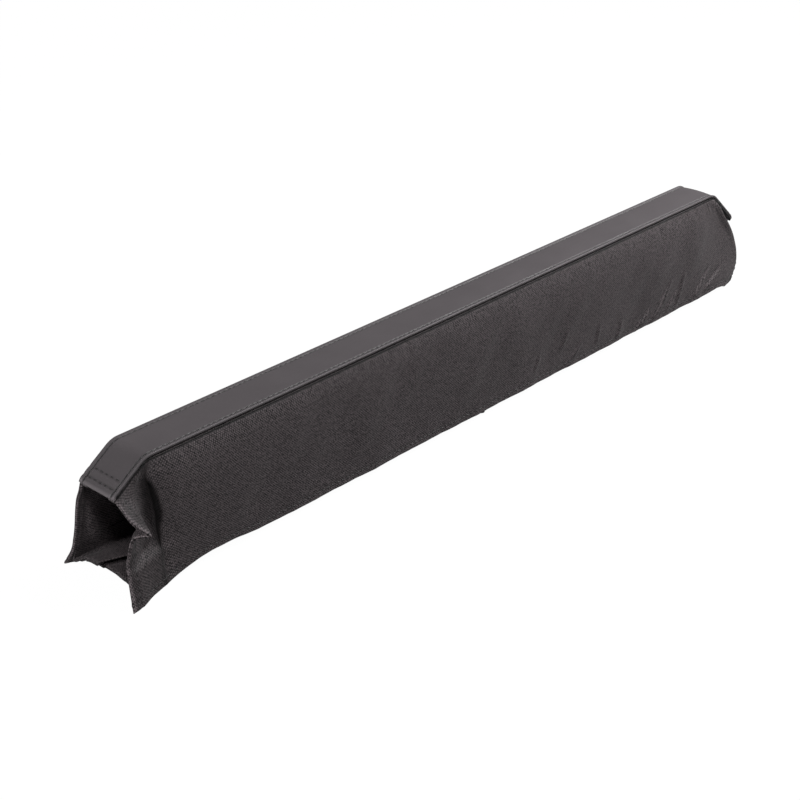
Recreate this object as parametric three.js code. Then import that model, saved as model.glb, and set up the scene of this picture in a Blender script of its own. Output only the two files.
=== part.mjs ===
// Crossbar pad for a roof rack: a foam core in a sewn cloth sleeve that closes round the bar.
// Millimetres, +Z up, X along the pad, the near end at -X and the near side at -Y.
// The origin lies under the middle of the pad, on the surface that its lowest corners stand on.
// Depths are measured down from the top of the strip, and become heights only in `place`.
import * as THREE from 'three';
import { mergeVertices } from 'three/addons/utils/BufferGeometryUtils.js';

// Coated strip along the top, with its long borders and its ends folded under
const stripWidth = 26.4;
const stripCloth = 1.2;
const stripBorder = 8;
const stripEndHem = 8;
const stripHemJoint = 0.05;
const bendRadius = 12;

// Where the strip bends down at each end, how steeply, and how far it runs on from there
const nearEnd = { sign: -1, corner: 231.5, slope: THREE.MathUtils.degToRad(34), overhang: 25.3 };
const farEnd = { sign: 1, corner: 232.5, slope: THREE.MathUtils.degToRad(42), overhang: 32.8 };

// Woven side panels
const panelDepth = 63;
const panelFootWidth = 42.8;
const panelCloth = 1.0;
const hemExtra = 0.5;
const seamAllowance = 5;
const seamInset = 0.9;
const cornerDrop = 4;

// Foam core and the lining that holds it
const foamCrown = 1.5;
const foamCrownWidth = 7.6;
const foamDepth = 34;
const foamNearSetback = 5.5;
const foamBevelSetback = 4.5;
const foamBevelLength = 18;
const foamBevelDepth = 28;
const liningCloth = 0.6;
const liningInset = 10;

// Closure flaps under the bar channel, in two lengths a side, and their hook and loop tapes
const flapCloth = 1.0;
const flapSewnHeight = 6;
const flapFold = 3;
const flapFoldCut = 0.9;
const outerFlapReach = 17.5;
const outerFlapLift = 0.7;
const innerFlapReach = 4;
const innerFlapLift = 2.9;
const innerFlapCutBack = 12.8;
const innerFlapCutLength = 28.5;
const innerFlapLead = [0, 0, 0, 0, 3.3, 6, 8];
const flapSlitAt = 3.5;
const flapSlit = 2;
const flapSagLength = 17;
const flapCornerSag = 1.2;
const tapeThickness = 0.8;
const tapeWidth = 17;
const tapeCentre = 6.75;
const tapeEndInset = 4;

// Air left between sewn layers
const gap = 0.3;

// How the cloth stands off the flat panel at the ends. A station is a column of the panel, with
// one value for each row below the seam: `along` runs outwards from the bend of the strip, `out`
// is away from the middle of the pad, and `drop` is downwards. `run` is the column's place on
// the strip's edge. Rows are shares of the panel's depth.
const rowShare = [0.05, 0.127, 0.262, 0.381, 0.508, 0.587, 0.683, 0.762, 1];
const nearPanelNearEnd = [
  { // end hem, with the pinched pleat and the pointed foot
    run: 25.3,
    along: [20, 18, 13, 18, 20, 22, 23, 26],
    out: [4, 10.6, 13.7, 5.7, 4.3, 2.8, 3.6, 8.3],
    drop: [10.3, 7.8, 6.3, 1.4, 1.5, 2.5, 3, 3.25],
  },
  { // flare between the hem and the dent
    run: 17,
    along: [14, 12.5, 9.5, 12.5, 14.5, 16, 17, 18.5],
    out: [1, 4.2, 4.2, 1.1, 1, 0.7, 1.5, 7.2],
    drop: [7.2, 5, 4, 1.5, 1.5, 2, 3, 3.4],
  },
  { // dent past the end of the foam
    run: 8,
    along: [6, 5, 4.5, 5, 6.5, 8, 9.5, 10],
    out: [-3.2, -5.9, -6.3, -5.4, -4, -2.3, -0.9, 4.9],
    drop: [3, 1, 1, -0.5, -0.5, 0, 1.5, 3.6],
  },
  { // edge of the foam
    run: -0.5,
    along: [-1.5, -3, -3.5, -3, -2, -1, 0, 1],
    out: [-0.5, -0.3, -0.3, -0.3, -0.1, 0, 0, 1.6],
    drop: [0, 0, 0, 0, 0, 0, 0, 3],
  },
];
const farPanelNearEnd = [
  { // end hem, with its own pointed foot
    run: 25.3,
    along: [20.8, 20, 20, 20, 20, 20.3, 20.7, 21.8],
    out: [-1, 1.9, 2.7, 3, 3.4, 3.8, 4.1, 8.6],
    drop: [12, 10.2, 9.5, 8.5, 8.3, 7.5, 7, 3.3],
  },
  { // flare behind the hem
    run: 17,
    along: [15, 14.5, 14.5, 14.5, 14.5, 15, 15.3, 15],
    out: [0, 0.6, 1, 1.4, 1.8, 2.2, 2.7, 5.6],
    drop: [7, 5, 4, 3.5, 3.5, 3.5, 3.5, 3],
  },
  { // shallow dent past the end of the foam
    run: 8,
    along: [7, 6.5, 6.5, 6.5, 6.5, 7, 7, 6.5],
    out: [-2.2, -2.8, -1.8, -0.8, -0.2, 0.3, 0.7, 2.1],
    drop: [3.5, 3, 2.5, 2, 2, 2, 2, 1.7],
  },
  { // edge of the foam
    run: -0.5,
    along: [-1.5, -2, -2, -2, -2, -2, -2, -3],
    out: [-0.4, 0, 0, 0, 0, 0, 0, 0.4],
    drop: [0, 0, 0, 0, 0, 0, 0, 0.4],
  },
];
const panelFarEnd = [
  { // flat cloth up to the ridge
    run: -7,
    along: [-2, 4, 9.5, 14.5, 16.5, 18, 18.5, 6],
    out: [0, 0, 0, 0, 0, 0, 0, 0],
    drop: [0, 0, 0, 0, 0, 0, 0.3, 0.2],
  },
  { // ridge where the cloth turns in over the sloped end of the foam
    run: -0.5,
    along: [4.4, 10, 15.5, 20.3, 22, 23.3, 23.9, 11],
    out: [-0.2, 0, 0, -0.2, -0.1, 0, -0.2, -0.5],
    drop: [0.2, 0, 0, 0, 0, 0, 1.5, 1.6],
  },
  { // fold behind the ridge
    run: 16,
    along: [12, 15.5, 20, 23, 23.8, 24.6, 25, 17.5],
    out: [-2.6, -3.9, -3.3, -2.6, -2.2, -1.8, -1.4, -1.4],
    drop: [9.5, 7, 5.5, 3, 3, 2, 3, 0.4],
  },
  { // end hem, tucked in
    run: 32.8,
    along: [23.2, 23.2, 23.4, 23.6, 23.8, 24, 24, 19.5],
    out: [-1.4, -3.4, -3.8, -3.4, -3, -2.8, -2.4, -2.4],
    drop: [19.5, 14.5, 10.5, 6.5, 5.5, 4, 4, -1],
  },
];
// Flat columns beside each end, as distances inwards from the bend
const flatFrom = 13;
const flatTo = 73;

const standHeight = panelDepth + cornerDrop;
const stripEdgeDepth = 2 * stripCloth;
const seamDepth = stripEdgeDepth + gap;

// Half width of the flat side at a depth
function halfWidthAt(depth) {
  return stripWidth / 2 + ((panelFootWidth - stripWidth) / 2) * (depth / panelDepth);
}

function place(x, y, depth) {
  return new THREE.Vector3(x, y, standHeight - depth);
}

// Evenly spaced values from a to b
function spread(a, b, steps) {
  return Array.from({ length: steps + 1 }, (_, i) => a + ((b - a) * i) / steps);
}

// The strip's top line at an end: flat, an arc at the bend, then a straight slope. `run` is
// measured outwards along it from the middle of the bend.
function stripLine(end, run) {
  const tangent = bendRadius * Math.tan(end.slope / 2);
  const halfArc = (bendRadius * end.slope) / 2;
  if (run <= -halfArc) return { along: run + halfArc - tangent, depth: 0, tilt: 0 };
  if (run < halfArc) {
    const tilt = (run + halfArc) / bendRadius;
    return {
      along: bendRadius * Math.sin(tilt) - tangent,
      depth: bendRadius * (1 - Math.cos(tilt)),
      tilt,
    };
  }
  const rest = run - halfArc + tangent;
  return { along: rest * Math.cos(end.slope), depth: rest * Math.sin(end.slope), tilt: end.slope };
}

// A point held `below` under the strip's top line, square to it
function underStrip(end, run, below) {
  const line = stripLine(end, run);
  return {
    x: end.sign * (end.corner + line.along - below * Math.sin(line.tilt)),
    depth: line.depth + below * Math.cos(line.tilt),
  };
}

// Smooth curve through points at uneven knots, its slope at each averaged from both sides
function smooth(points, knots, at) {
  const end = knots.length - 1;
  let i = 0;
  while (i < end - 1 && at > knots[i + 1]) i += 1;
  const width = (k) => knots[k + 1] - knots[k];
  const rise = (k, c) => (points[k + 1][c] - points[k][c]) / width(k);
  const slope = (k, c) => {
    if (k === 0) return rise(0, c);
    if (k === end) return rise(k - 1, c);
    return (rise(k - 1, c) * width(k) + rise(k, c) * width(k - 1)) / (width(k - 1) + width(k));
  };
  const h = width(i);
  const t = (at - knots[i]) / h;
  return points[i].map((_, c) =>
    (2 * t ** 3 - 3 * t ** 2 + 1) * points[i][c] + (t ** 3 - 2 * t ** 2 + t) * h * slope(i, c)
    + (3 * t ** 2 - 2 * t ** 3) * points[i + 1][c] + (t ** 3 - t ** 2) * h * slope(i + 1, c));
}

// Turns every face round if the body encloses a negative volume
function facingOut(geometry) {
  const position = geometry.attributes.position;
  const index = geometry.index.array;
  const [a, b, c] = [new THREE.Vector3(), new THREE.Vector3(), new THREE.Vector3()];
  let volume = 0;
  for (let i = 0; i < index.length; i += 3) {
    a.fromBufferAttribute(position, index[i]);
    b.fromBufferAttribute(position, index[i + 1]);
    c.fromBufferAttribute(position, index[i + 2]);
    volume += a.dot(b.cross(c));
  }
  for (let i = 0; volume < 0 && i < index.length; i += 3) {
    [index[i + 1], index[i + 2]] = [index[i + 2], index[i + 1]];
  }
  geometry.computeVertexNormals();
  return geometry;
}

// Closed skin over rings of equal length, with the caps given as triangles on the first ring
function loft(rings, capTriangles) {
  const size = rings[0].length;
  const index = [];
  for (let i = 0; i + 1 < rings.length; i += 1) {
    for (let j = 0; j < size; j += 1) {
      const a = i * size + j;
      const b = i * size + ((j + 1) % size);
      index.push(a, b, b + size, a, b + size, a + size);
    }
  }
  const last = (rings.length - 1) * size;
  for (const [a, b, c] of capTriangles) {
    index.push(a, c, b, last + a, last + b, last + c);
  }
  const geometry = new THREE.BufferGeometry();
  const positions = rings.flat().flatMap((point) => point.toArray());
  geometry.setAttribute('position', new THREE.Float32BufferAttribute(positions, 3));
  geometry.setIndex(index);
  return facingOut(mergeVertices(geometry, 1e-4));
}

// Cap triangles for a section given as pairs of numbers, wound as the rings run
function capFor(outline) {
  const flat = outline.map(([across, down]) => new THREE.Vector2(across, down));
  const triangles = THREE.ShapeUtils.triangulateShape(flat, []);
  return THREE.ShapeUtils.isClockWise(flat)
    ? triangles.map(([a, b, c]) => [a, c, b])
    : triangles;
}

// A sheet of cloth: its outer face is a grid of points, and its inner face is the same grid
// moved by the cloth's thickness along the grid's own normal, on the side that `inside` gives
function cloth(grid, thickness, inside) {
  const at = (i, j) => grid[THREE.MathUtils.clamp(i, 0, grid.length - 1)][
    THREE.MathUtils.clamp(j, 0, grid[0].length - 1)];
  const rings = grid.map((row, i) => {
    const inner = row.map((point, j) => {
      const alongRow = at(i, j + 1).clone().sub(at(i, j - 1));
      const alongPad = at(i + 1, j).clone().sub(at(i - 1, j));
      const normal = alongPad.cross(alongRow).normalize();
      return point.clone().addScaledVector(normal, inside * thickness(i));
    });
    return [...row, ...inner.reverse()];
  });
  const rows = grid[0].length;
  const caps = [];
  for (let j = 0; j + 1 < rows; j += 1) {
    const under = 2 * rows - 1 - j;
    caps.push([j, j + 1, under], [j + 1, under - 1, under]);
  }
  return loft(rings, caps);
}

// The coated strip: one section with round folded edges, carried along the strip's line
function topStrip() {
  const half = stripWidth / 2;
  const fold = half - stripBorder;
  const roundEdge = spread(0, Math.PI, 6).map((turn) => [
    half - stripCloth + stripCloth * Math.sin(turn),
    stripCloth - stripCloth * Math.cos(turn),
  ]);
  const section = (middle) => {
    const right = [...roundEdge, [fold, stripEdgeDepth], [fold - stripCloth / 4, middle]];
    return [...right, ...right.map(([across, below]) => [-across, below]).reverse()];
  };
  const stations = (end) => {
    const halfArc = (bendRadius * end.slope) / 2;
    const hem = end.overhang - stripEndHem;
    const hemStep = stripCloth / 4;
    return [...spread(-halfArc, halfArc, 5), hem - hemStep, hem, end.overhang].map((run) => {
      const middle = run >= hem ? stripEdgeDepth - stripHemJoint : stripCloth;
      return section(middle).map(([across, below]) => {
        const point = underStrip(end, run, below);
        return place(point.x, across, point.depth);
      });
    });
  };
  return loft([...stations(nearEnd).reverse(), ...stations(farEnd)], capFor(section(stripCloth)));
}

// One column of a side panel: its seam under the strip, then the rows of its station
function panelColumn(side, end, station) {
  const seam = underStrip(end, station.run, seamDepth);
  const rows = rowShare.slice(1).map((share, k) => {
    const depth = share * panelDepth;
    return [
      end.sign * (end.corner + station.along[k]),
      side * (halfWidthAt(depth) + station.out[k]),
      depth + station.drop[k],
    ];
  });
  return [[seam.x, side * (stripWidth / 2 - seamInset), seam.depth], ...rows];
}

// The outer face of a side panel, as a function of the place along it, given as a column number
// with a fraction, and of the share of its depth
function panelSurface(side, nearShape) {
  const flat = (inwards) => {
    const none = rowShare.slice(1).map(() => 0);
    return { run: -inwards, along: none.map(() => -inwards), out: none, drop: none };
  };
  const stations = [
    ...[...nearShape, flat(flatFrom), flat(flatTo)].map((station) => [nearEnd, station]),
    ...[flat(flatTo), flat(flatFrom), ...panelFarEnd].map((station) => [farEnd, station]),
  ];
  const columns = stations.map(([end, station]) => panelColumn(side, end, station));
  const middle = Math.floor(rowShare.length / 2);
  const knots = [0];
  for (let k = 1; k < columns.length; k += 1) {
    const [a, b] = [columns[k - 1][middle], columns[k][middle]];
    knots.push(knots[k - 1] + Math.hypot(b[0] - a[0], b[1] - a[1], b[2] - a[2]));
  }
  const column = (at) => {
    const i = Math.min(Math.floor(at), columns.length - 2);
    const t = knots[i] + (at - i) * (knots[i + 1] - knots[i]);
    const rows = rowShare.map((_, r) => smooth(columns.map((c) => c[r]), knots, t));
    const [[end, from], [nextEnd, to]] = [stations[i], stations[i + 1]];
    if (end === nextEnd) {
      const seam = underStrip(end, from.run + (at - i) * (to.run - from.run), seamDepth);
      rows[0] = [seam.x, rows[0][1], seam.depth];
    }
    return rows;
  };
  return {
    count: columns.length,
    flatStart: nearShape.length,
    column,
    point: (at, share) => smooth(column(at), rowShare, share),
  };
}

function sidePanel(surface, side) {
  const between = 3;
  const flatEnd = surface.flatStart + 3;
  const places = [];
  for (let i = 0; i + 1 < surface.count; i += 1) {
    const steps = i >= surface.flatStart && i < flatEnd ? 1 : between;
    for (let k = 0; k < steps; k += 1) places.push(i + k / steps);
  }
  places.push(surface.count - 1);
  const shares = rowShare.flatMap((share, r) =>
    (r + 1 < rowShare.length ? [share, (share + rowShare[r + 1]) / 2] : [share]));
  const grid = places.map((at) => {
    const rows = surface.column(at);
    const [x, y, depth] = rows[0];
    const allowance = place(x, y - side * seamAllowance, depth);
    return [allowance, ...shares.map((share) => place(...smooth(rows, rowShare, share)))];
  });
  const hemmed = (i) => i < between || i >= places.length - between;
  return cloth(grid, (i) => panelCloth + (hemmed(i) ? hemExtra : 0), -side);
}

// A closure flap: sewn up inside the foot of its panel, folded under, then flat to its free
// edge. `lead` moves each row of the open end along the pad.
function flap(surface, side, layer, places, lead, sagPlace) {
  const foldTop = layer.level - flapFold;
  const grid = places.map((at, k) => {
    const sewn = (depth) => {
      const [x, y, down] = surface.point(at, depth / panelDepth);
      const [, upY, upDown] = surface.point(at, (depth - flapSewnHeight) / panelDepth);
      const lean = (y - upY) / (down - upDown);
      const inset = (panelCloth + hemExtra + 4 * gap) * Math.hypot(1, lean);
      return [x, y - side * inset, down];
    };
    const [x, footY, footDepth] = sewn(panelDepth);
    const sag = at === sagPlace ? flapCornerSag : 0;
    const under = Math.max(layer.level, footDepth - layer.lift) + sag;
    const inner = footY - side * flapFold;
    const edge = layer.freeEdge(x);
    const rows = [
      sewn(foldTop - flapSewnHeight),
      sewn(foldTop),
      [x, footY - side * flapFoldCut, under - flapFoldCut],
      ...[0, 0.25, 0.5, 1].map((share) => [
        x,
        inner + (edge - inner) * share,
        layer.level + (under - layer.level) * (1 - share) ** 3,
      ]),
    ];
    return rows.map(([px, py, down], r) => place(px + (k === 0 ? lead[r] : 0), py, down));
  });
  return cloth(grid, () => flapCloth, -side);
}

function tape(from, to, level) {
  const geometry = new THREE.BoxGeometry(to - from, tapeWidth, tapeThickness);
  geometry.translate((from + to) / 2, tapeCentre, standHeight - level - tapeThickness / 2);
  return geometry;
}

// Foam block with a raised crown between the seams, square at the near end and sloped at the
// far one
function foamCore() {
  const layers = panelCloth + gap + liningCloth + gap;
  const shoulder = seamDepth + layers;
  const shoulderHalf = stripWidth / 2 - seamInset - layers;
  const shoulderFrom = stripWidth / 2 - seamInset - seamAllowance - 4 * gap;
  const crownHalf = foamCrownWidth / 2;
  const flank = (depth) => [halfWidthAt(depth) - layers, depth];
  const section = (top) => {
    const half = [
      [crownHalf, top],
      [shoulderFrom, Math.max(shoulder, top)],
      [shoulderHalf, Math.max(shoulder, top)],
      flank(Math.max(2 * shoulder, top)),
      flank(foamDepth),
    ];
    return [...half, ...half.map(([y, depth]) => [-y, depth]).reverse()];
  };
  const bevelFrom = farEnd.corner - foamBevelSetback;
  const bevel = spread(0, 1, 6).map((share) => [
    bevelFrom + share * foamBevelLength,
    foamCrown + share * (foamBevelDepth - foamCrown),
  ]);
  const stations = [[-(nearEnd.corner - foamNearSetback), foamCrown], ...bevel];
  const rings = stations.map(([x, top]) => section(top).map(([y, depth]) => place(x, y, depth)));
  return loft(rings, capFor(section(foamCrown)));
}

// Lining round the foam's sides and underside, caught in both seams of the strip
function foamLining() {
  const out = panelCloth + gap;
  const corner = stripWidth / 2 - seamInset - out;
  const floor = foamDepth + gap + liningCloth;
  const shoulder = seamDepth + out;
  const half = [
    [corner - seamAllowance + out, shoulder],
    [corner, shoulder],
    [halfWidthAt(2 * shoulder) - out, 2 * shoulder],
    [halfWidthAt(floor) - out, floor],
  ];
  const outline = [...half.map(([y, depth]) => [-y, depth]), ...half.reverse()];
  const ends = [-(nearEnd.corner - liningInset), farEnd.corner - liningInset];
  const grid = ends.map((x) => outline.map(([y, depth]) => place(x, y, depth)));
  return cloth(grid, () => liningCloth, 1);
}

const wovenPolyester = { color: '#4a4547', roughness: 0.85, metalness: 0 };
const finishes = {
  coated_fabric: { color: '#5c585a', roughness: 0.55, metalness: 0 },
  woven_fabric: wovenPolyester,
  lining_fabric: { ...wovenPolyester, color: '#2a2829' },
  foam: { color: '#3a3a3c', roughness: 0.95, metalness: 0 },
  closure_tape: { color: '#1c1b1c', roughness: 1, metalness: 0 },
};

const pad = new THREE.Group();

function add(name, geometry, finish) {
  const mesh = new THREE.Mesh(geometry, new THREE.MeshStandardMaterial(finishes[finish]));
  mesh.name = name;
  pad.add(mesh);
}

const [nearSide, farSide] = [-1, 1];
const nearSurface = panelSurface(nearSide, nearPanelNearEnd);
const farSurface = panelSurface(farSide, farPanelNearEnd);

add('top_strip', topStrip(), 'coated_fabric');
add('near_side_panel', sidePanel(nearSurface, nearSide), 'woven_fabric');
add('far_side_panel', sidePanel(farSurface, farSide), 'woven_fabric');
add('foam_core', foamCore(), 'foam');
add('foam_lining', foamLining(), 'lining_fabric');

// The flaps: the outer pair is sewn to the near panel and closes over the inner pair
const nearFlat = -(nearEnd.corner - flatTo);
const farFlat = farEnd.corner - flatTo;
const midPlace = (x) => nearSurface.flatStart + 1 + (x - nearFlat) / (farFlat - nearFlat);
const slitFrom = flapSlitAt - flapSlit / 2;
const slitTo = flapSlitAt + flapSlit / 2;
const outerLayer = {
  level: panelDepth + flapCloth,
  lift: outerFlapLift,
  freeEdge: () => outerFlapReach,
};
const tapeStep = tapeThickness + gap;
const hookLevel = outerLayer.level - flapCloth - tapeStep;
const loopLevel = hookLevel - tapeStep;
const innerCutTo = nearEnd.corner - flatFrom;
const innerLayer = {
  level: loopLevel - gap,
  lift: innerFlapLift,
  freeEdge: (x) => {
    const share = THREE.MathUtils.clamp((-x - innerCutTo) / innerFlapCutLength, 0, 1);
    return -innerFlapReach + innerFlapCutBack * share;
  },
};
const sagFrom = midPlace(slitFrom - flapSagLength);
const sagEnd = midPlace(slitFrom);
const nearPlaces = [2, 2.5, 3, 3.5, 4, 5, sagFrom, sagEnd];
const farPlaces = [midPlace(slitTo), 6, 7, 8, 9];
const noLead = [0, 0, 0, 0, 0, 0, 0];

add('outer_flap_near_length',
  flap(nearSurface, nearSide, outerLayer, [4 / 3, 5 / 3, ...nearPlaces], noLead, sagEnd),
  'woven_fabric');
add('outer_flap_far_length',
  flap(nearSurface, nearSide, outerLayer, farPlaces, noLead, null), 'woven_fabric');
add('inner_flap_near_length',
  flap(farSurface, farSide, innerLayer, [0.3, 2 / 3, 1, 1.5, ...nearPlaces],
    innerFlapLead, null), 'woven_fabric');
add('inner_flap_far_length',
  flap(farSurface, farSide, innerLayer, farPlaces, noLead, null), 'woven_fabric');

const tapeFrom = -innerCutTo + tapeEndInset;
const tapeTo = farEnd.corner - flatFrom - tapeEndInset;
for (const [length, from, to] of [
  ['near', tapeFrom, slitFrom - tapeEndInset],
  ['far', slitTo + tapeEndInset, tapeTo],
]) {
  add(`hook_tape_${length}_length`, tape(from, to, hookLevel), 'closure_tape');
  add(`loop_tape_${length}_length`, tape(from, to, loopLevel), 'closure_tape');
}

export default pad;
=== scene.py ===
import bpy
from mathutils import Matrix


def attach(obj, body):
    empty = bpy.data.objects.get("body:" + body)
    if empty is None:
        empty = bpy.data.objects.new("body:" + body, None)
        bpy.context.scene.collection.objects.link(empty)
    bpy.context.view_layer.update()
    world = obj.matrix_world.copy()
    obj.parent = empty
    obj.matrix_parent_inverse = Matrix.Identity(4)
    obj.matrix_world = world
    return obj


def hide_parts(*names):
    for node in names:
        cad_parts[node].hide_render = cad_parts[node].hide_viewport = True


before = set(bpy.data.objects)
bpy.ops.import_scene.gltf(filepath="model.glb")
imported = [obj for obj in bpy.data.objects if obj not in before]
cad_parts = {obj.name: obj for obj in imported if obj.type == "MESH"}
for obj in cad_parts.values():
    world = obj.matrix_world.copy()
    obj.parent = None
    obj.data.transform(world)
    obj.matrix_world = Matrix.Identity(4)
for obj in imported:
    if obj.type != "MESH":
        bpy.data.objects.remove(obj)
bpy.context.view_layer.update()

# A crossbar pad for a roof rack: a foam core in a sewn cloth sleeve with a coated strip on top,
# closed under the bar by two flaps. Lengths are in millimetres and become metres in `make_piece`.
# Depths are measured down from the top of the strip.

import logging
import math
from dataclasses import dataclass, field
from enum import Enum

import bpy
import numpy as np
from mathutils import Matrix, Vector

LOG = logging.getLogger("crossbar_pad")
Array = np.ndarray
MM = 0.001

# The strip's line stands STAND_HEIGHT above the floor. The side panels leave the strip at
# SEAM_DEPTH and SEAM_HALF_WIDTH and end at PANEL_DEPTH. The foam pushes them out by up to
# BELLY towards the near end, and by up to 9/16 of SHOULDER towards the far one.
STAND_HEIGHT = 67.0
PANEL_DEPTH = 63.0
FOOT_HALF_WIDTH = 21.4
STRIP_HALF_WIDTH = 13.2
SEAM_HALF_WIDTH = STRIP_HALF_WIDTH - 0.2
SEAM_DEPTH = 1.9
FOAM_DEPTH = 34.0
BELLY = 2.4
SHOULDER = 6.8


class Run(Enum):
    """Which way a row of stitches runs on its cloth."""

    ALONG = "along"
    ACROSS = "across"


class Side(Enum):
    """The two long sides of the pad, with the sign of Y on each."""

    NEAR = -1
    FAR = 1


# ---------------------------------------------------------------- shapes as whole arrays


def unit(vectors: Array) -> Array:
    """Vectors scaled to length one."""
    return vectors / np.maximum(np.linalg.norm(vectors, axis=-1, keepdims=True), 1e-9)


def bell(offset: Array, width: float) -> Array:
    """A Gaussian bump: exp of minus (offset / width) squared."""
    return np.exp(-((offset / width) ** 2))


def ease(value: Array, low: float, high: float) -> Array:
    """Smoothstep: 0 below low, 1 above high, and 3t^2 - 2t^3 between them."""
    t = np.clip((value - low) / (high - low), 0, 1)
    return t * t * (3 - 2 * t)


def graded(start: float, stop: float, step: float) -> Array:
    """Positions from start to stop, about step apart, and closer beside both ends so that a
    sheet's edge comes out round.

    Args:
        start: the first position.
        stop: the last one.
        step: the space between the inner ones.

    Returns:
        Rising positions.
    """
    fine = np.array([0, 0.06, 0.2, 0.42, 0.75, 1.2])
    low, high = start + fine, stop - fine[::-1]
    count = max(2, round((high[0] - low[-1]) / step) + 1)
    return np.concatenate([low, np.linspace(low[-1], high[0], count)[1:-1], high])


def refined(places: Array, low: float, high: float, step: float) -> Array:
    """Places with those between -high and -low, and between low and high, set step apart.

    Args:
        places: rising places, the same on both sides of 0.
        low: where the finer places start.
        high: where they stop.
        step: the space between them.

    Returns:
        Rising places.
    """
    fine = np.arange(low, high, step)
    kept = places[(np.abs(places) < low - step / 2) | (np.abs(places) > high)]
    return np.sort(np.concatenate([-fine, kept, fine]))


def smooth(points: Array, knots: Array, at: Array) -> Array:
    """Cubic Hermite curve through points at uneven knots. The slope at an inner point is the
    mean of the two chords beside it, each weighted by the other one's width.

    Args:
        points: one entry per knot, of any shape.
        knots: rising values.
        at: where the curve is wanted.

    Returns:
        One entry per value of at.
    """
    width = np.diff(knots).reshape((-1,) + (1,) * (points.ndim - 1))
    chord = np.diff(points, axis=0) / width
    inner = (chord[:-1] * width[1:] + chord[1:] * width[:-1]) / (width[:-1] + width[1:])
    slope = np.concatenate([chord[:1], inner, chord[-1:]])
    i = np.clip(np.searchsorted(knots, at, side="right") - 1, 0, len(knots) - 2)
    column = (-1,) + (1,) * (points.ndim - 1)
    t = ((at - knots[i]) / np.diff(knots)[i]).reshape(column)
    h = width[i]
    return (
        (2 * t**3 - 3 * t**2 + 1) * points[i]
        + (t**3 - 2 * t**2 + t) * h * slope[i]
        + (3 * t**2 - 2 * t**3) * points[i + 1]
        + (t**3 - t**2) * h * slope[i + 1]
    )


def ripple(u: Array, wavelengths: tuple[float, ...], seed: int) -> Array:
    """A sum of sines of the given wavelengths, each with its own random phase, scaled to stay
    within about one.

    Args:
        u: where the wave is wanted.
        wavelengths: one for each sine.
        seed: what the phases are drawn from.

    Returns:
        One value for each value of u.
    """
    phases = np.random.default_rng(seed).uniform(0, 2 * math.pi, len(wavelengths))
    waves = [np.sin(2 * math.pi * u / w + p) for w, p in zip(wavelengths, phases)]
    return sum(waves) / math.sqrt(len(wavelengths))


# ---------------------------------------------------------------- meshes


def make_piece(name: str, points: Array, faces: list, material: bpy.types.Material,
               cut: Array | None = None, wear_and_painted_light: Array | None = None) -> bpy.types.Object:
    """Makes a mesh object from points in millimetres.

    Args:
        name: the piece's name.
        points: vertices, one row each, in millimetres.
        faces: vertex numbers of each face.
        material: what it is made of.
        cut: each vertex's place on the flat cloth in millimetres, for cloth.
        wear_and_painted_light: for cloth, a tone shift: 1 where it is painted paler as a
            highlight or rubbed pale, -1 where painted shade lies deep in a seam, and 0 elsewhere.

    Returns:
        The linked object, which rides on the part's only body.
    """
    mesh = bpy.data.meshes.new(name)
    mesh.from_pydata(points * MM, [], faces)
    mesh.polygons.foreach_set("use_smooth", np.ones(len(mesh.polygons), dtype=bool))
    if cut is not None:
        corners = np.empty(len(mesh.loops), dtype=np.int32)
        mesh.loops.foreach_get("vertex_index", corners)
        layer = mesh.uv_layers.new(name="cloth")
        layer.data.foreach_set("uv", (cut[corners] * MM).astype(np.float32).ravel())
        # Stores each point's tone shift: painted shade, painted highlights and rubbed paleness.
        painted_and_worn = mesh.attributes.new("wear_and_painted_light", "FLOAT", "POINT")
        painted_and_worn.data.foreach_set("value", wear_and_painted_light.astype(np.float32))
    mesh.materials.append(material)
    piece = bpy.data.objects.new(name, mesh)
    bpy.context.scene.collection.objects.link(piece)
    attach(piece, "root")
    return piece


def facing_out(points: Array, quads: Array) -> Array:
    """Turns all quads round if the closed body they make encloses a negative volume.

    Args:
        points: the body's vertices.
        quads: vertex numbers of its faces.

    Returns:
        The quads, facing outwards.
    """
    a, b, c, d = (points[quads[:, k]] for k in range(4))
    volume = (a * np.cross(b, c)).sum() + (a * np.cross(c, d)).sum()
    return quads if volume > 0 else quads[:, ::-1]


def tube(rings: int, sides: int) -> Array:
    """Quads that join rings of points, each with as many points as sides, into a tube.

    Args:
        rings: how many rings there are, one after another.
        sides: how many points each has.

    Returns:
        Vertex numbers, one row for each quad.
    """
    i, j = np.meshgrid(np.arange(rings - 1), np.arange(sides), indexing="ij")
    k = (j + 1) % sides
    corners = [i * sides + j, i * sides + k, (i + 1) * sides + k, (i + 1) * sides + j]
    return np.stack(corners, -1).reshape(-1, 4)


@dataclass(frozen=True)
class StitchRow:
    """A straight row of stitches on a cloth: the coordinate it keeps, and where it runs."""

    run: Run
    at: float
    start: float
    stop: float


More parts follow.
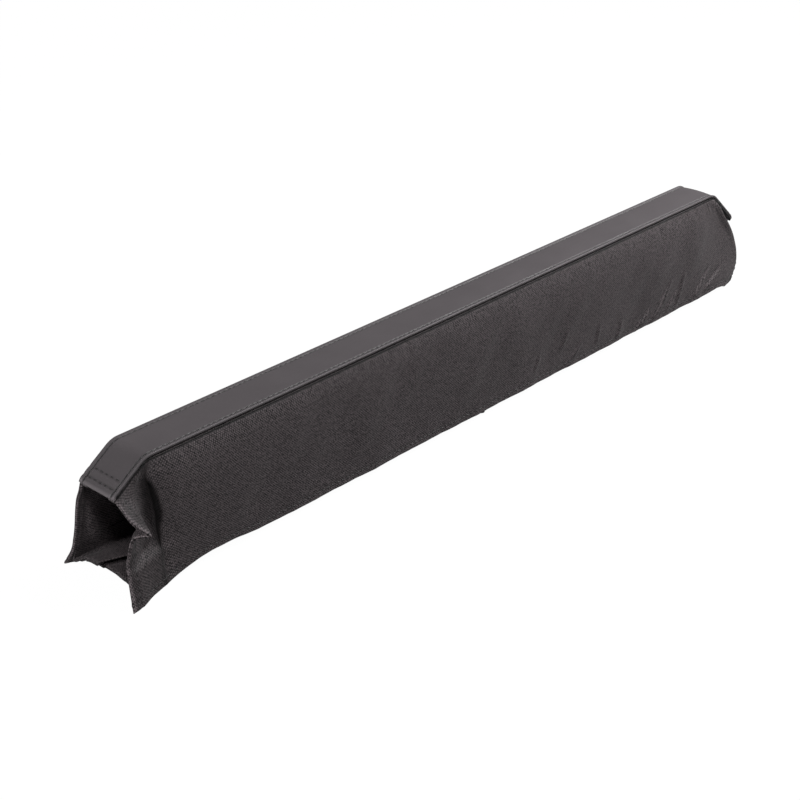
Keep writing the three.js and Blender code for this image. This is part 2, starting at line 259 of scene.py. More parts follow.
@dataclass(frozen=True)
class Stitching:
    """Lockstitch in heavy thread. Each stitch shows as a short bead that dips into the cloth at
    both ends."""

    pitch: float = 3.5
    length: float = 3.1
    radius: float = 0.33
    lift: float = 0.22
    dip: float = 0.4

    def beads(self, middles: Array, alongs: Array, normals: Array) -> tuple[Array, Array]:
        """Rings round a bead's centreline, whose radius falls off as the square root of
        1 - s^2 and whose height falls by dip * s^2 from middle (s = 0) to end (s = 1).

        Args:
            middles: where each stitch sits on the cloth.
            alongs: the row's direction there.
            normals: the cloth's outward direction there.

        Returns:
            Points of all beads, and quads, with the end rings drawn nearly to a point.
        """
        s = np.array([-0.985, -0.8, -0.4, 0.0, 0.4, 0.8, 0.985])
        sides = 6
        turn = np.arange(sides) * 2 * math.pi / sides
        ring = self.radius * np.sqrt(1 - s**2)
        height = (self.lift - self.dip * s**2)[:, None] + ring[:, None] * np.sin(turn)
        sideways = ring[:, None] * np.cos(turn)
        forwards = np.repeat((s * self.length / 2)[:, None], sides, axis=1)
        across = unit(np.cross(normals, alongs))
        axes = np.stack([alongs, across, normals], axis=1)
        local = np.stack([forwards, sideways, height], axis=-1).reshape(-1, 3)
        points = middles[:, None] + local @ axes
        low = np.array([[0, 5, 4, 3], [0, 3, 2, 1]])
        high = len(local) - sides + np.array([[0, 1, 2, 3], [0, 3, 4, 5]])
        one = facing_out(local, np.concatenate([tube(len(s), sides), low, high]))
        starts = np.arange(len(middles))[:, None, None] * len(local)
        return points.reshape(-1, 3), (one[None] + starts).reshape(-1, 4)


@dataclass
class Cloth:
    """A sheet of cloth given by its outer face as a function of u, along the pad, and v, across
    the cloth. Its inner face lies one thickness behind, paler by `back` where it is coated, and
    its four edges are rounded."""

    name: str
    slot: str
    material: bpy.types.Material
    outwards: int
    u: Array
    v: Array
    rows: tuple[StitchRow, ...] = ()
    cloth: float = 1.0
    end_slit: float = 0.0
    back: float = 0.0

    def face(self, u: Array, v: Array) -> Array:
        """The outer face at every pair of u and v, as an array (len(u), len(v), 3)."""
        raise NotImplementedError

    def from_ends(self, u: Array) -> Array:
        """Distance from the nearer end edge."""
        return np.minimum(u - self.u[0], self.u[-1] - u)

    def thickness(self, u: Array, v: Array) -> Array:
        """The thickness at every pair of u and v, one cloth throughout."""
        return np.full((len(u), len(v)), self.cloth)

    def cut(self, u: Array, v: Array) -> Array:
        """The place on the flat cloth, for the weave."""
        return np.stack(np.broadcast_arrays(u[:, None], v[None]), axis=-1)

    def wear_and_painted_light(self, u: Array, v: Array) -> Array:
        """The cloth's tone shift, from -1 for painted shade in a seam to 1 for a painted
        highlight or a rubbed edge; none here.
        """
        return np.zeros((len(u), len(v)))

    def normals(self, face: Array) -> Array:
        """Outward unit normals: the cross product of the face's two gradients."""
        along, across = np.gradient(face, axis=0), np.gradient(face, axis=1)
        return self.outwards * unit(np.cross(along, across))

    def make(self) -> bpy.types.Object:
        """Builds the closed sheet. Near an edge both faces draw in to the sheet's middle as
        the square root of 1 - (1 - d / r)^2, with d the distance from the edge and r half the
        thickness. At the two ends of a folded hem the middle is drawn in by end_slit, so that
        its two layers part.

        Returns:
            The linked piece.
        """
        face = self.face(self.u, self.v)
        half = self.thickness(self.u, self.v)[..., None] / 2
        normals = self.normals(face)
        from_v = np.minimum(self.v - self.v[0], self.v[-1] - self.v)
        edge = np.minimum(self.from_ends(self.u)[:, None], from_v[None])[..., None]
        round_off = np.sqrt(1 - (1 - np.clip(edge / half, 0, 1)) ** 2)
        middle = face - normals * half
        for border, within in ((0, 3), (-1, -4)):
            middle[border] += self.end_slit * unit(middle[within] - middle[border])
        outer = middle + normals * half * round_off
        inner = (middle - normals * half * round_off)[1:-1, 1:-1]
        rows, columns = face.shape[:2]
        top = np.arange(rows * columns).reshape(rows, columns)
        under = top.copy()
        under[1:-1, 1:-1] = top.size + np.arange(inner[..., 0].size).reshape(inner.shape[:2])
        quads = []
        for g, turn in ((top, self.outwards), (under, -self.outwards)):
            corners = np.stack([g[:-1, :-1], g[1:, :-1], g[1:, 1:], g[:-1, 1:]], -1)
            quads += corners.reshape(-1, 4)[:, ::turn].tolist()
        points = np.concatenate([outer.reshape(-1, 3), inner.reshape(-1, 3)])
        # Each point's tone shift holds painted shade and painted highlights; the inner face is
        # also paler by back, for its coating.
        cut, wear_and_painted_light = self.cut(self.u, self.v), self.wear_and_painted_light(self.u, self.v)
        flat = np.concatenate([cut.reshape(-1, 2), cut[1:-1, 1:-1].reshape(-1, 2)])
        painted_and_worn = np.concatenate([wear_and_painted_light.ravel(), wear_and_painted_light[1:-1, 1:-1].ravel() + self.back])
        piece = make_piece(self.name, points, quads, self.material, flat, painted_and_worn)
        return piece

    def sewing(self, thread: Stitching, material: bpy.types.Material) -> bpy.types.Object:
        """Builds all stitches of the cloth's rows as one piece.

        Args:
            thread: the size of the stitches.
            material: what the thread is made of.

        Returns:
            The linked piece.
        """
        step = 0.3 * np.array([-1, 0, 1])
        frames = []
        for row in self.rows:
            count = max(1, int((row.stop - row.start) / thread.pitch))
            places = row.start + (np.arange(count) + 0.5) * (row.stop - row.start) / count
            spread = (places[:, None] + step).ravel()
            if row.run is Run.ALONG:
                patch = self.face(spread, row.at + step).reshape(count, 3, 3, 3)
            else:
                patch = self.face(row.at + step, spread).reshape(3, count, 3, 3)
                patch = patch.transpose(1, 0, 2, 3)
            over_u, over_v = patch[:, 2, 1] - patch[:, 0, 1], patch[:, 1, 2] - patch[:, 1, 0]
            along = over_u if row.run is Run.ALONG else over_v
            normal = self.outwards * unit(np.cross(over_u, over_v))
            frames.append((patch[:, 1, 1], unit(along), normal))
        middles, alongs, normals = (np.concatenate(part) for part in zip(*frames))
        points, quads = thread.beads(middles, alongs, normals)
        piece = make_piece(f"{self.name}_stitching", points, quads.tolist(), material)
        return piece


# ---------------------------------------------------------------- the strip and its line


@dataclass(frozen=True)
class StripEnd:
    """Where the strip bends down at one end, how steeply, and how far it runs on from there."""

    sign: int
    corner: float
    slope: float
    overhang: float
    radius: float = 12.0

    def under(self, run: Array, below: Array) -> tuple[Array, Array]:
        """A point held `below` under the strip's line, square to it: flat, then an arc of the
        bend's radius, then a straight slope.

        Args:
            run: distance outwards along the strip from the middle of its bend.
            below: distance under the line.

        Returns:
            X and depth.
        """
        tangent = self.radius * math.tan(self.slope / 2)
        half_arc = self.radius * self.slope / 2
        tilt = np.clip((run + half_arc) / self.radius, 0, self.slope)
        flat = np.minimum(run + half_arc, 0) - tangent
        rest = np.maximum(run - half_arc, 0)
        along = flat + self.radius * np.sin(tilt) + rest * math.cos(self.slope)
        depth = self.radius * (1 - np.cos(tilt)) + rest * math.sin(self.slope)
        x = self.sign * (self.corner + along - below * np.sin(tilt))
        return x, depth + below * np.cos(tilt)


@dataclass(frozen=True)
class StripLine:
    """The whole line of the strip, over a place s that is negative towards the near end."""

    near: StripEnd = StripEnd(-1, 231.5, math.radians(34), 25.3)
    far: StripEnd = StripEnd(1, 232.5, math.radians(42), 32.8)
    settled: float = 158.0

    def under(self, s: Array, below: Array) -> tuple[Array, Array]:
        """X and depth of a point held `below` under the line at s. The two ends' formulas are
        mixed over the flat middle, where they differ by a third of a millimetre along X.

        Args:
            s: the place along the strip.
            below: distance under the line.

        Returns:
            X and depth.
        """
        near_x, near_depth = self.near.under(-s - self.near.corner, below)
        far_x, far_depth = self.far.under(s - self.far.corner, below)
        share = ease(s, -self.settled, self.settled)
        return near_x + (far_x - near_x) * share, near_depth + (far_depth - near_depth) * share

    def ends(self) -> tuple[float, float]:
        """The place of the strip's two end edges."""
        return -self.near.corner - self.near.overhang, self.far.corner + self.far.overhang


def half_width(depth: Array) -> Array:
    """Half the pad's width at a depth, on its flat stretch, before the cloth's belly."""
    return STRIP_HALF_WIDTH + (FOOT_HALF_WIDTH - STRIP_HALF_WIDTH) * depth / PANEL_DEPTH


def belly(x: Array, depth: Array) -> Array:
    """How far the foam pushes the cloth out. With t the share of the panel's depth, it is
    BELLY * 27/4 * t * (1 - t)^2 towards the near end, and towards the far end it becomes
    SHOULDER * (1 - (1 - 2t)^2 - t), with (1 - 2t) no less than 0, an even curve over the upper
    half and straight below. The change runs from X -60 to X 230.

    Args:
        x: X of each point.
        depth: its depth.

    Returns:
        The distance outwards.
    """
    t = np.clip(depth / PANEL_DEPTH, 0, 1)
    near = BELLY * 27 / 4 * t * (1 - t) ** 2
    far = SHOULDER * (1 - np.clip(1 - 2 * t, 0, 1) ** 2 - t)
    return near + (far - near) * ease(x, -60, 230)


@dataclass
class TopStrip(Cloth):
    """The coated strip: slightly crowned by the foam under it, with a stitched groove beside
    each long edge, which is folded under into a soft roll, and a double-stitched hem at each
    end."""

    line: StripLine = field(default_factory=StripLine)
    cloth: float = 0.8
    border: float = 7.0
    groove_at: float = 10.4
    groove: float = 0.45
    groove_width: float = 0.42
    roll_at: float = 12.3
    roll: float = 0.4
    roll_width: float = 0.9
    droop: float = 1.1
    droop_over: float = 3.2
    crown: float = 0.5
    crown_over: float = 24.0
    hem: float = 11.0
    hem_rows: tuple[float, ...] = (4.6, 9.6)
    hem_groove: float = 0.28
    hem_groove_width: float = 0.55
    pitch: float = 3.5
    # Painted shade in the grooves and the hems' rows, a painted highlight on the hem folds, and
    # on the rolls a paleness that is partly rubbed and partly painted highlight.
    seam_painted_shade: float = 1.4
    row_painted_shade: float = 0.55
    roll_rub_and_painted_highlight: float = 0.2
    fold_painted_highlight: float = 2.0

    def face(self, u: Array, v: Array) -> Array:
        """Below the strip's line by -crown (1 - (v / groove_at)^2) + groove bells - roll bells,
        with each groove a little deeper at every stitch.

        Args:
            u: places along the cloth.
            v: places across the cloth.

        Returns:
            Points, as an array (len(u), len(v), 3).
        """
        s, y = u[:, None], v[None]
        end, turns = self.from_ends(s), 2 * math.pi / self.pitch
        inner = np.clip(1 - (y / self.groove_at) ** 2, 0, None)
        stitched = 1 + 0.18 * np.cos(turns * s)
        below = -self.crown * inner * ease(end, 0, self.crown_over)
        groove = bell(np.abs(y) - self.groove_at, self.groove_width) * stitched
        below = below + self.groove * groove
        below = below - self.roll * bell(np.abs(y) - self.roll_at, self.roll_width)
        for row in self.hem_rows:
            dip = bell(end - row, self.hem_groove_width) * (1 + 0.25 * np.cos(turns * y))
            below = below + self.hem_groove * dip
        below = below + self.droop * np.clip(1 - end / self.droop_over, 0, 1) ** 2
        below = below + 0.1 * ripple(s, (61.0, 38.0, 23.0), 3) * inner
        x, depth = self.line.under(s, below)
        return np.stack([x, np.broadcast_to(y, x.shape), STAND_HEIGHT - depth], axis=-1)

    def wear_and_painted_light(self, u: Array, v: Array) -> Array:
        """Painted shade in the stitched grooves and along the hems' rows; the rolls paler, partly
        rubbed and partly a painted highlight on their shaded undersides; and a painted highlight
        on the folds of the hems.

        Args:
            u: places along the cloth.
            v: places across the cloth.

        Returns:
            The painted shade and highlights, with the rolls' rubbed paleness, at every pair of u
            and v.
        """
        end, aside = self.from_ends(u)[:, None], np.abs(v)[None]
        # Painted shade in the stitched grooves and the hems' rows.
        seams = self.seam_painted_shade * bell(aside - self.groove_at, 0.45)
        for row in self.hem_rows:
            dark = self.row_painted_shade * bell(end - row, 0.5) * (aside < self.groove_at)
            seams = np.maximum(seams, dark)
        # Rolls paler, partly rubbed and partly a painted highlight; a painted highlight on the
        # hem folds.
        rolls = self.roll_rub_and_painted_highlight * bell(aside - self.roll_at - 0.4, 0.5)
        return rolls + self.fold_painted_highlight * bell(end - 0.7, 0.9) - seams

    def thickness(self, u: Array, v: Array) -> Array:
        """One cloth in the middle and two where the borders and the hems are folded under.

        Args:
            u: places along the cloth.
            v: places across the cloth.

        Returns:
            The thickness at every pair of u and v.
        """
        fold_at = STRIP_HALF_WIDTH - self.border
        fold = ease(np.abs(v), fold_at - 0.2, fold_at + 0.2)
        hem = 1 - ease(self.from_ends(u), self.hem - 0.2, self.hem + 0.2)
        double = np.maximum(fold[None], hem[:, None])
        rolled = self.roll * bell(np.abs(v) - self.roll_at, self.roll_width)
        return self.cloth * (1 + double) + rolled[None]


# ---------------------------------------------------------------- side panels


@dataclass(frozen=True)
class Station:
    """A column of a panel: its place on the strip's edge, as a run from the bend, and how far
    the cloth stands off there, row by row: along the pad outwards from the bend, away from the
    pad's middle, and down."""

    run: float
    along: tuple[float, ...]
    out: tuple[float, ...]
    drop: tuple[float, ...]


def flat_station(inwards: float) -> Station:
    """A column of the flat stretch."""
    none = (0.0,) * 8
    return Station(-inwards, (-inwards,) * 8, none, none)


# Every station's rows stand at these shares of the panel's depth, the seam's row first. The
# seam's row follows the strip, so a station has values for the other eight only.
ROW_SHARE = np.array([0.05, 0.127, 0.262, 0.381, 0.508, 0.587, 0.683, 0.762, 1])
NEAR_PANEL_NEAR_END = (
    Station(25.3, (20, 18, 13, 18, 20, 22, 23, 26), (4, 10.6, 13.7, 5.7, 4.3, 2.8, 3.6, 8.3),
            (10.3, 7.8, 6.3, 1.4, 1.5, 2.5, 3, 3.25)),
    Station(17, (14, 12.5, 9.5, 12.5, 14.5, 16, 17, 18.5), (1, 4.2, 4.2, 1.1, 1.2, 2.8, 4.6, 6.8),
            (7.2, 5, 4, 1.5, 1.5, 2, 3, 3.4)),
    Station(10, (9, 9.3, 8, 8.4, 9.4, 10, 11, 12), (-0.6, -0.4, -1, -2.4, -2, 0, 2.4, 3.8),
            (3.5, 1.5, 1, 0, 0, 0.5, 1.5, 3.5)),
    Station(2, (4, 2, 1, 1, 2.2, 3.6, 4.6, 5), (-1.8, -4, -5.2, -5.4, -4.2, -2.2, 0.8, 2),
            (1.5, 0, 0, -0.5, -0.5, 0, 0.7, 3.2)),
    Station(-0.5, (1.8, -1.4, -2.8, -3, -1.4, 0.2, 1, 1.4),
            (-1.5, -5, -6.6, -6.4, -4.4, -1.6, 0.3, 1.6), (0.7, 0, 0, -0.2, -0.2, 0, 0.3, 2.7)),
    Station(-2.5, (-0.4, -2.2, -3.3, -3.4, -2, -1.4, -1.2, -0.9), (0, 0, 0, 0, 0, 0, 0, 1.2),
            (0, 0, 0, 0, 0, 0, 0, 2.2)),
    Station(-6, (-4.6, -5, -5.8, -6, -5.6, -5.2, -5, -5), (0, 0, 0, 0, 0, 0, 0, 0.7),
            (0, 0, 0, 0, 0, 0, 0, 1.4)),
)
FAR_PANEL_NEAR_END = (
    Station(25.3, (20.8, 20, 20, 20, 20, 20.3, 20.7, 21.8), (-1, 1.9, 2.7, 3, 3.4, 3.8, 4.1, 8.6),
            (12, 10.2, 9.5, 8.5, 8.3, 7.5, 7, 3.3)),
    Station(17, (15, 14.5, 14.5, 14.5, 14.5, 15, 15.3, 15), (0, 0.6, 1, 1.4, 1.8, 2.2, 2.7, 5.6),
            (7, 5, 4, 3.5, 3.5, 3.5, 3.5, 3)),
    Station(8, (7, 6.5, 6.5, 6.5, 6.5, 7, 7, 6.5), (-2.2, -2.8, -1.8, -0.8, -0.2, 0.3, 0.7, 2.1),
            (3.5, 3, 2.5, 2, 2, 2, 2, 1.7)),
    Station(-0.5, (-1.5, -2, -2, -2, -2, -2, -2, -3), (-0.4, 0, 0, 0, 0, 0, 0, 0.4),
            (0, 0, 0, 0, 0, 0, 0, 0.4)),
)
PANEL_FAR_END = (
    Station(-7, (-2, 4, 9.5, 14.5, 16.5, 18, 18.5, 6), (0,) * 8, (0, 0, 0, 0, 0, 0, 0.3, 0.2)),
    Station(-0.5, (4.4, 10, 15.5, 20.3, 22, 23.3, 23.9, 11),
            (-0.2, 0, 0, -0.2, -0.1, 0, -0.2, -0.5), (0.2, 0, 0, 0, 0, 0, 1.5, 1.6)),
    Station(3, (5.2, 10.7, 16.1, 20.8, 22.4, 23.6, 24.1, 12.2),
            (-2.4, -2.6, -2.2, -1.3, -0.6, -0.4, -0.4, -0.7),
            (2, 1.3, 0.8, 0.5, 0.5, 0.4, 1.8, 1.4)),
    Station(16, (9.5, 14, 19, 22.6, 23.6, 24.5, 25, 17.5),
            (-8.5, -10.5, -9, -6, -3.6, -2.6, -1.8, -1.4), (9.5, 7, 5.5, 3, 3, 2, 3, 0.4)),
    Station(32.8, (21.5, 21.8, 22.5, 23.2, 23.8, 24, 24, 19.5),
            (-6.5, -9.5, -9, -7, -5, -3.6, -3, -2.4), (19.5, 14.5, 10.5, 6.5, 5.5, 4, 4, -1)),
)
# Between the two ends, the first and last plain columns stand this far inwards from each bend.
FLAT_FROM, FLAT_TO = 13.0, 73.0


@dataclass(frozen=True)
class Crease:
    """A soft fold that runs from one point of a panel to another, each given as X and depth,
    with the height it stands and half its width."""

    start: tuple[float, float]
    stop: tuple[float, float]
    height: float
    width: float

    def rise(self, x: Array, depth: Array) -> Array:
        """Height times a narrow bell of the distance from the line, less a third of a wider one
        beside it, faded out over each end.

        Args:
            x: X of each point.
            depth: its depth.

        Returns:
            How far the cloth stands out there.
        """
        (x0, d0), (x1, d1) = self.start, self.stop
        length = math.hypot(x1 - x0, d1 - d0)
        ux, ud = (x1 - x0) / length, (d1 - d0) / length
        along = ((x - x0) * ux + (depth - d0) * ud) / length
        aside = (depth - d0) * ux - (x - x0) * ud
        fade = ease(along, -0.15, 0.3) * (1 - ease(along, 0.6, 1.1))
        valley = 0.3 * bell(aside + 2.2 * self.width, 1.6 * self.width)
        return self.height * (bell(aside, self.width) - valley) * fade


NEAR_CREASES = (
    Crease((-249, 49), (-216, 48.5), 0.8, 2.4),
    Crease((-252, 47.5), (-235, 42.5), -1.8, 2),
    Crease((217.5, 59), (237.8, 48.9), 1.8, 0.84),
    Crease((203, 60), (222.6, 45.1), 1.8, 1),
    Crease((186, 59), (194.1, 38.8), 1.2, 1.2),
    Crease((174.5, 59), (188.7, 48.2), 1.2, 0.94),
    Crease((158.5, 61.5), (180.8, 40.6), 2.1, 0.94),
    Crease((143.5, 62), (159, 51.2), 1.8, 1),
    Crease((123.5, 60), (128.9, 49.2), 1.1, 1),
    Crease((103, 57), (106.4, 44.9), 0.92, 1.1),
    Crease((79.5, 59), (88.95, 50.2), 0.92, 1.1),
    Crease((69, 50), (76.42, 38.5), 0.81, 1.1),
    Crease((45, 54.5), (50.4, 45.7), 0.81, 1.1),
)
FAR_CREASES = (Crease((-245, 34), (-239, 58), -2.2, 3.0),)


class PanelNet:
    """The panel's main shape: columns of points that follow the stations, joined by smooth
    curves along the pad and then down each column. Places along the cloth are in millimetres
    from its near end, and `ridge` is the place of the ridge beside the far end's gusset."""

    def __init__(self, side: Side, near_stations: tuple[Station, ...], line: StripLine) -> None:
        """Works out the columns from the stations of both ends.

        Args:
            side: which side of the pad the panel is on.
            near_stations: the columns of its near end, from the edge inwards.
            line: the strip's line, which its top follows.
        """
        self.side, self.line = side, line
        near = [*near_stations, flat_station(FLAT_FROM), flat_station(FLAT_TO)]
        far = [flat_station(FLAT_TO), flat_station(FLAT_FROM), *PANEL_FAR_END]
        ends = [line.near] * len(near) + [line.far] * len(far)
        self.flat_start = len(near_stations)
        stations = near + far
        self.places = np.array([
            end.sign * (end.corner + station.run) for end, station in zip(ends, stations)])
        columns = []
        for end, station, place in zip(ends, stations, self.places):
            depth = ROW_SHARE[1:] * PANEL_DEPTH
            x = end.sign * (end.corner + np.array(station.along, dtype=float))
            y = side.value * (half_width(depth) + np.array(station.out, dtype=float))
            seam_x, seam_depth = line.under(place, SEAM_DEPTH)
            seam = [seam_x, side.value * SEAM_HALF_WIDTH, seam_depth]
            rows = np.stack([x, y, depth + np.array(station.drop, dtype=float)], axis=-1)
            columns.append(np.concatenate([[seam], rows]))
        self.columns = np.array(columns)
        steps = np.diff(self.columns[:, 4], axis=0)
        self.knots = np.concatenate([[0], np.cumsum(np.linalg.norm(steps, axis=1))])
        self.ridge = self.knots[-4]

    def at_station(self, place: float) -> float:
        """The place along the cloth, in millimetres, of a station number with a fraction."""
        return float(np.interp(place, np.arange(len(self.knots)), self.knots))

    def points(self, u: Array, share: Array) -> Array:
        """Points as X, Y and height, for every place along the cloth and share of its depth.

        Args:
            u: places along the cloth.
            share: shares of the panel's depth.

        Returns:
            Points, as an array (len(u), len(share), 3).
        """
        rows = smooth(self.columns, self.knots, u)
        s = np.interp(u, self.knots, self.places)
        rows[:, 0, 0], rows[:, 0, 2] = self.line.under(s, SEAM_DEPTH)
        grid = np.moveaxis(smooth(np.moveaxis(rows, 1, 0), ROW_SHARE, share), 0, 1)
        grid[..., 2] = STAND_HEIGHT - grid[..., 2]
        return grid

    def inside(self, u: Array, depth: float, inset: Array) -> Array:
        """Points held inset behind the panel's outer face at a depth, square to that face.

        Args:
            u: places along the cloth.
            depth: the depth of all points.
            inset: how far behind the face each one is.

        Returns:
            Points, one row for each place.
        """
        share, step = depth / PANEL_DEPTH, 0.05
        here, above = self.points(u, np.array([share, share - step])).transpose(1, 0, 2)
        along = self.points(u + 0.3, np.array([share]))[:, 0] - here
        inwards = unit(np.cross(along, above - here))
        inwards = inwards * (-self.side.value * np.sign(inwards[:, 1:2]))
        return here + inwards * inset[:, None]


@dataclass
class SidePanel(Cloth):
    """A woven side panel: turned in under the strip at its top, hemmed at both ends, stitched
    to its flap above the foot, and slightly uneven over the foam, as the real one is."""

    net: PanelNet | None = None
    creases: tuple[Crease, ...] = ()
    hem_extra: float = 0.8
    hem: float = 6.5
    hem_row: float = 5.2
    foot_row: float = 3.0
    tuck: float = 0.2
    foot_groove: float = 0.35
    hem_groove: float = 0.4
    hem_rise: float = 0.25
    # Painted shade and painted highlights, as tone shifts:
    seam_painted_shade: float = 2.8
    fold_painted_highlight: float = 1.8
    hem_painted_shade: float = 0.9
    row_painted_shade: float = 0.7
    ridge_painted_highlight: float = 0.9
    gusset_painted_shade: float = 1.3
    open_end_painted_shade: float = 0.4
    dent_painted_shade: float = 1.1
    dent_at: float = 4.3
    dent_width: float = 3.2
    lip_at: float = 4.9
    seed: int = 1

    def relief(self, u: Array, v: Array, base: Array) -> Array:
        """How far the face stands off the net: waves, a tuck at the top seam, a groove under
        each row of stitches, the hems' extra layer and the creases. A row of the table of
        waves has their height, their lengths, their slant, and where on the cloth they are:
        puckers at the seam, puckers at the foot, slow waves, and slanted ones.

        Args:
            u: places along the cloth.
            v: places across the cloth.
            base: the net's points there.

        Returns:
            The distance at every pair of u and v.
        """
        foot, uu, vv = self.v[-1], u[:, None], v[None]
        flat = ease(uu, 22, 60) * (1 - ease(uu, self.u[-1] - 60, self.u[-1] - 30))
        body = ease(vv, 2, 14) * flat
        waves = (
            (0.14, (7.3, 9.1, 12.7), 0, bell(vv - 2.5, 4)),
            (0.08, (8.3, 11.9, 17.0), 0, bell(vv - foot, 6)),
            (0.3, (97.0, 61.0, 43.0), 0, body),
            (0.15, (29.0, 21.0), 0.8, body),
        )
        height = sum(tall * ripple(uu + slant * vv, lengths, self.seed + k) * where
                     for k, (tall, lengths, slant, where) in enumerate(waves))
        height = height - self.tuck * bell(vv, 0.7)
        height = height - self.foot_groove * bell(vv - (foot - self.foot_row), 0.6)
        end = self.from_ends(uu)
        height = height - self.hem_groove * bell(end - self.hem_row, 0.7)
        height = height + self.hem_rise * (1 - ease(end, self.hem - 0.5, self.hem + 0.5))
        x, depth = base[..., 0], STAND_HEIGHT - base[..., 2]
        for crease in self.creases:
            height = height + crease.rise(x, depth)
        return height * (vv > 0)

    def face(self, u: Array, v: Array) -> Array:
        """The net's point at share 0.05 + v / depth, pushed out by the belly between the pad's
        ends, and moved by the relief along its normal. Where v is negative the cloth runs
        level under the strip.

        Args:
            u: places along the cloth.
            v: places across the cloth.

        Returns:
            Points, as an array (len(u), len(v), 3).
        """
        share = ROW_SHARE[0] + np.clip(v, 0, None) / PANEL_DEPTH
        base = self.net.points(u, share)
        x, depth = base[..., 0], STAND_HEIGHT - base[..., 2]
        taut = ease(x, -234, -218) * (1 - ease(x, 200, 240))
        base[..., 1] += self.net.side.value * belly(x, depth) * taut
        base[..., 1] += self.net.side.value * np.minimum(v, 0)[None]
        return base + self.normals(base) * self.relief(u, v, base)[..., None]

    def wear_and_painted_light(self, u: Array, v: Array) -> Array:
        """Painted highlights on the folds of the hems and on the ridge beside the far end's
        gusset. Painted shade in the hems' stitched grooves, in the seam under the strip, in the
        gusset, and on the near panel in the folds at its open end, up to the lip of the dent
        there.

        Args:
            u: places along the cloth.
            v: places across the cloth.

        Returns:
            The painted shade and painted highlights at every pair of u and v.
        """
        end, ridge = self.from_ends(u), self.net.ridge
        # Painted highlight on the hem folds, painted shade in the hems' stitched grooves.
        along = self.fold_painted_highlight * bell(end - 0.7, 0.9) - self.hem_painted_shade * bell(end - 2.8, 0.6)
        along = along - self.row_painted_shade * bell(end - self.hem_row, 0.6)
        # Painted highlight on the ridge beside the far end's gusset, and painted shade in the
        # gusset under the strip's slope.
        gusset = self.ridge_painted_highlight * bell(u - ridge, 0.9)
        gusset = gusset - self.gusset_painted_shade * ease(u, ridge + 0.8, ridge + 2.4)
        painted_and_worn = along[:, None] + gusset[:, None] * (1 - ease(v, 16, 30))
        # Painted shade in the seam under the strip's edge.
        painted_and_worn = painted_and_worn - self.seam_painted_shade * bell(v, 0.4)
        # Painted shade over the near panel's open end, deepest in the dent, up to its lip.
        if self.net.side is Side.NEAR:
            lip, dent = (self.net.at_station(at) for at in (self.lip_at, self.dent_at))
            folds = self.open_end_painted_shade + self.dent_painted_shade * bell(u - dent, self.dent_width)
            folds = folds * (1 - ease(u, lip - 0.8, lip + 2))
            painted_and_worn = painted_and_worn - folds[:, None] * (0.3 + 0.7 * ease(v, 5, 16))
        return painted_and_worn

    def thickness(self, u: Array, v: Array) -> Array:
        """One cloth, and most of another one in the hems."""
        hem = 1 - ease(self.from_ends(u), self.hem - 0.3, self.hem + 0.3)
        return np.repeat((self.cloth + self.hem_extra * hem)[:, None], len(v), axis=1)


# ---------------------------------------------------------------- flaps, tapes and lining


@dataclass(frozen=True)
class FlapLayer:
    """One of the two flaps: its word and side, the depth of its outer face, how far above its
    panel's foot it leaves the panel, where its free edge runs, the station where it starts and
    how far its seven rows reach out past it, the cut of its corner there, and how far it hangs
    at the slit and at the open end."""

    word: str
    side: Side
    level: float
    lift: float
    reach: float
    first: float
    lead: tuple[float, ...]
    cut_back: float = 0.0
    cut_length: float = 1.0
    cut_from: float = -218.5
    sag: float = 0.0
    droop: float = 0.0

    def free_edge(self, x: Array) -> Array:
        """Y of the free edge, which is cut back in a straight line towards the near end."""
        return self.reach + self.cut_back * np.clip((self.cut_from - x) / self.cut_length, 0, 1)


FLAP_LAYERS = (
    FlapLayer("outer", Side.NEAR, 64.0, 0.7, 17.5, 1.38, (0, 0, 0, 0, 2.5, 5, 10), sag=2.8),
    FlapLayer("inner", Side.FAR, 59.5, 3.5, -4.0, 0.3, (0, 0, 0, 0, 3.3, 6, 8), 12.8, 28.5,
              droop=1.0),
)


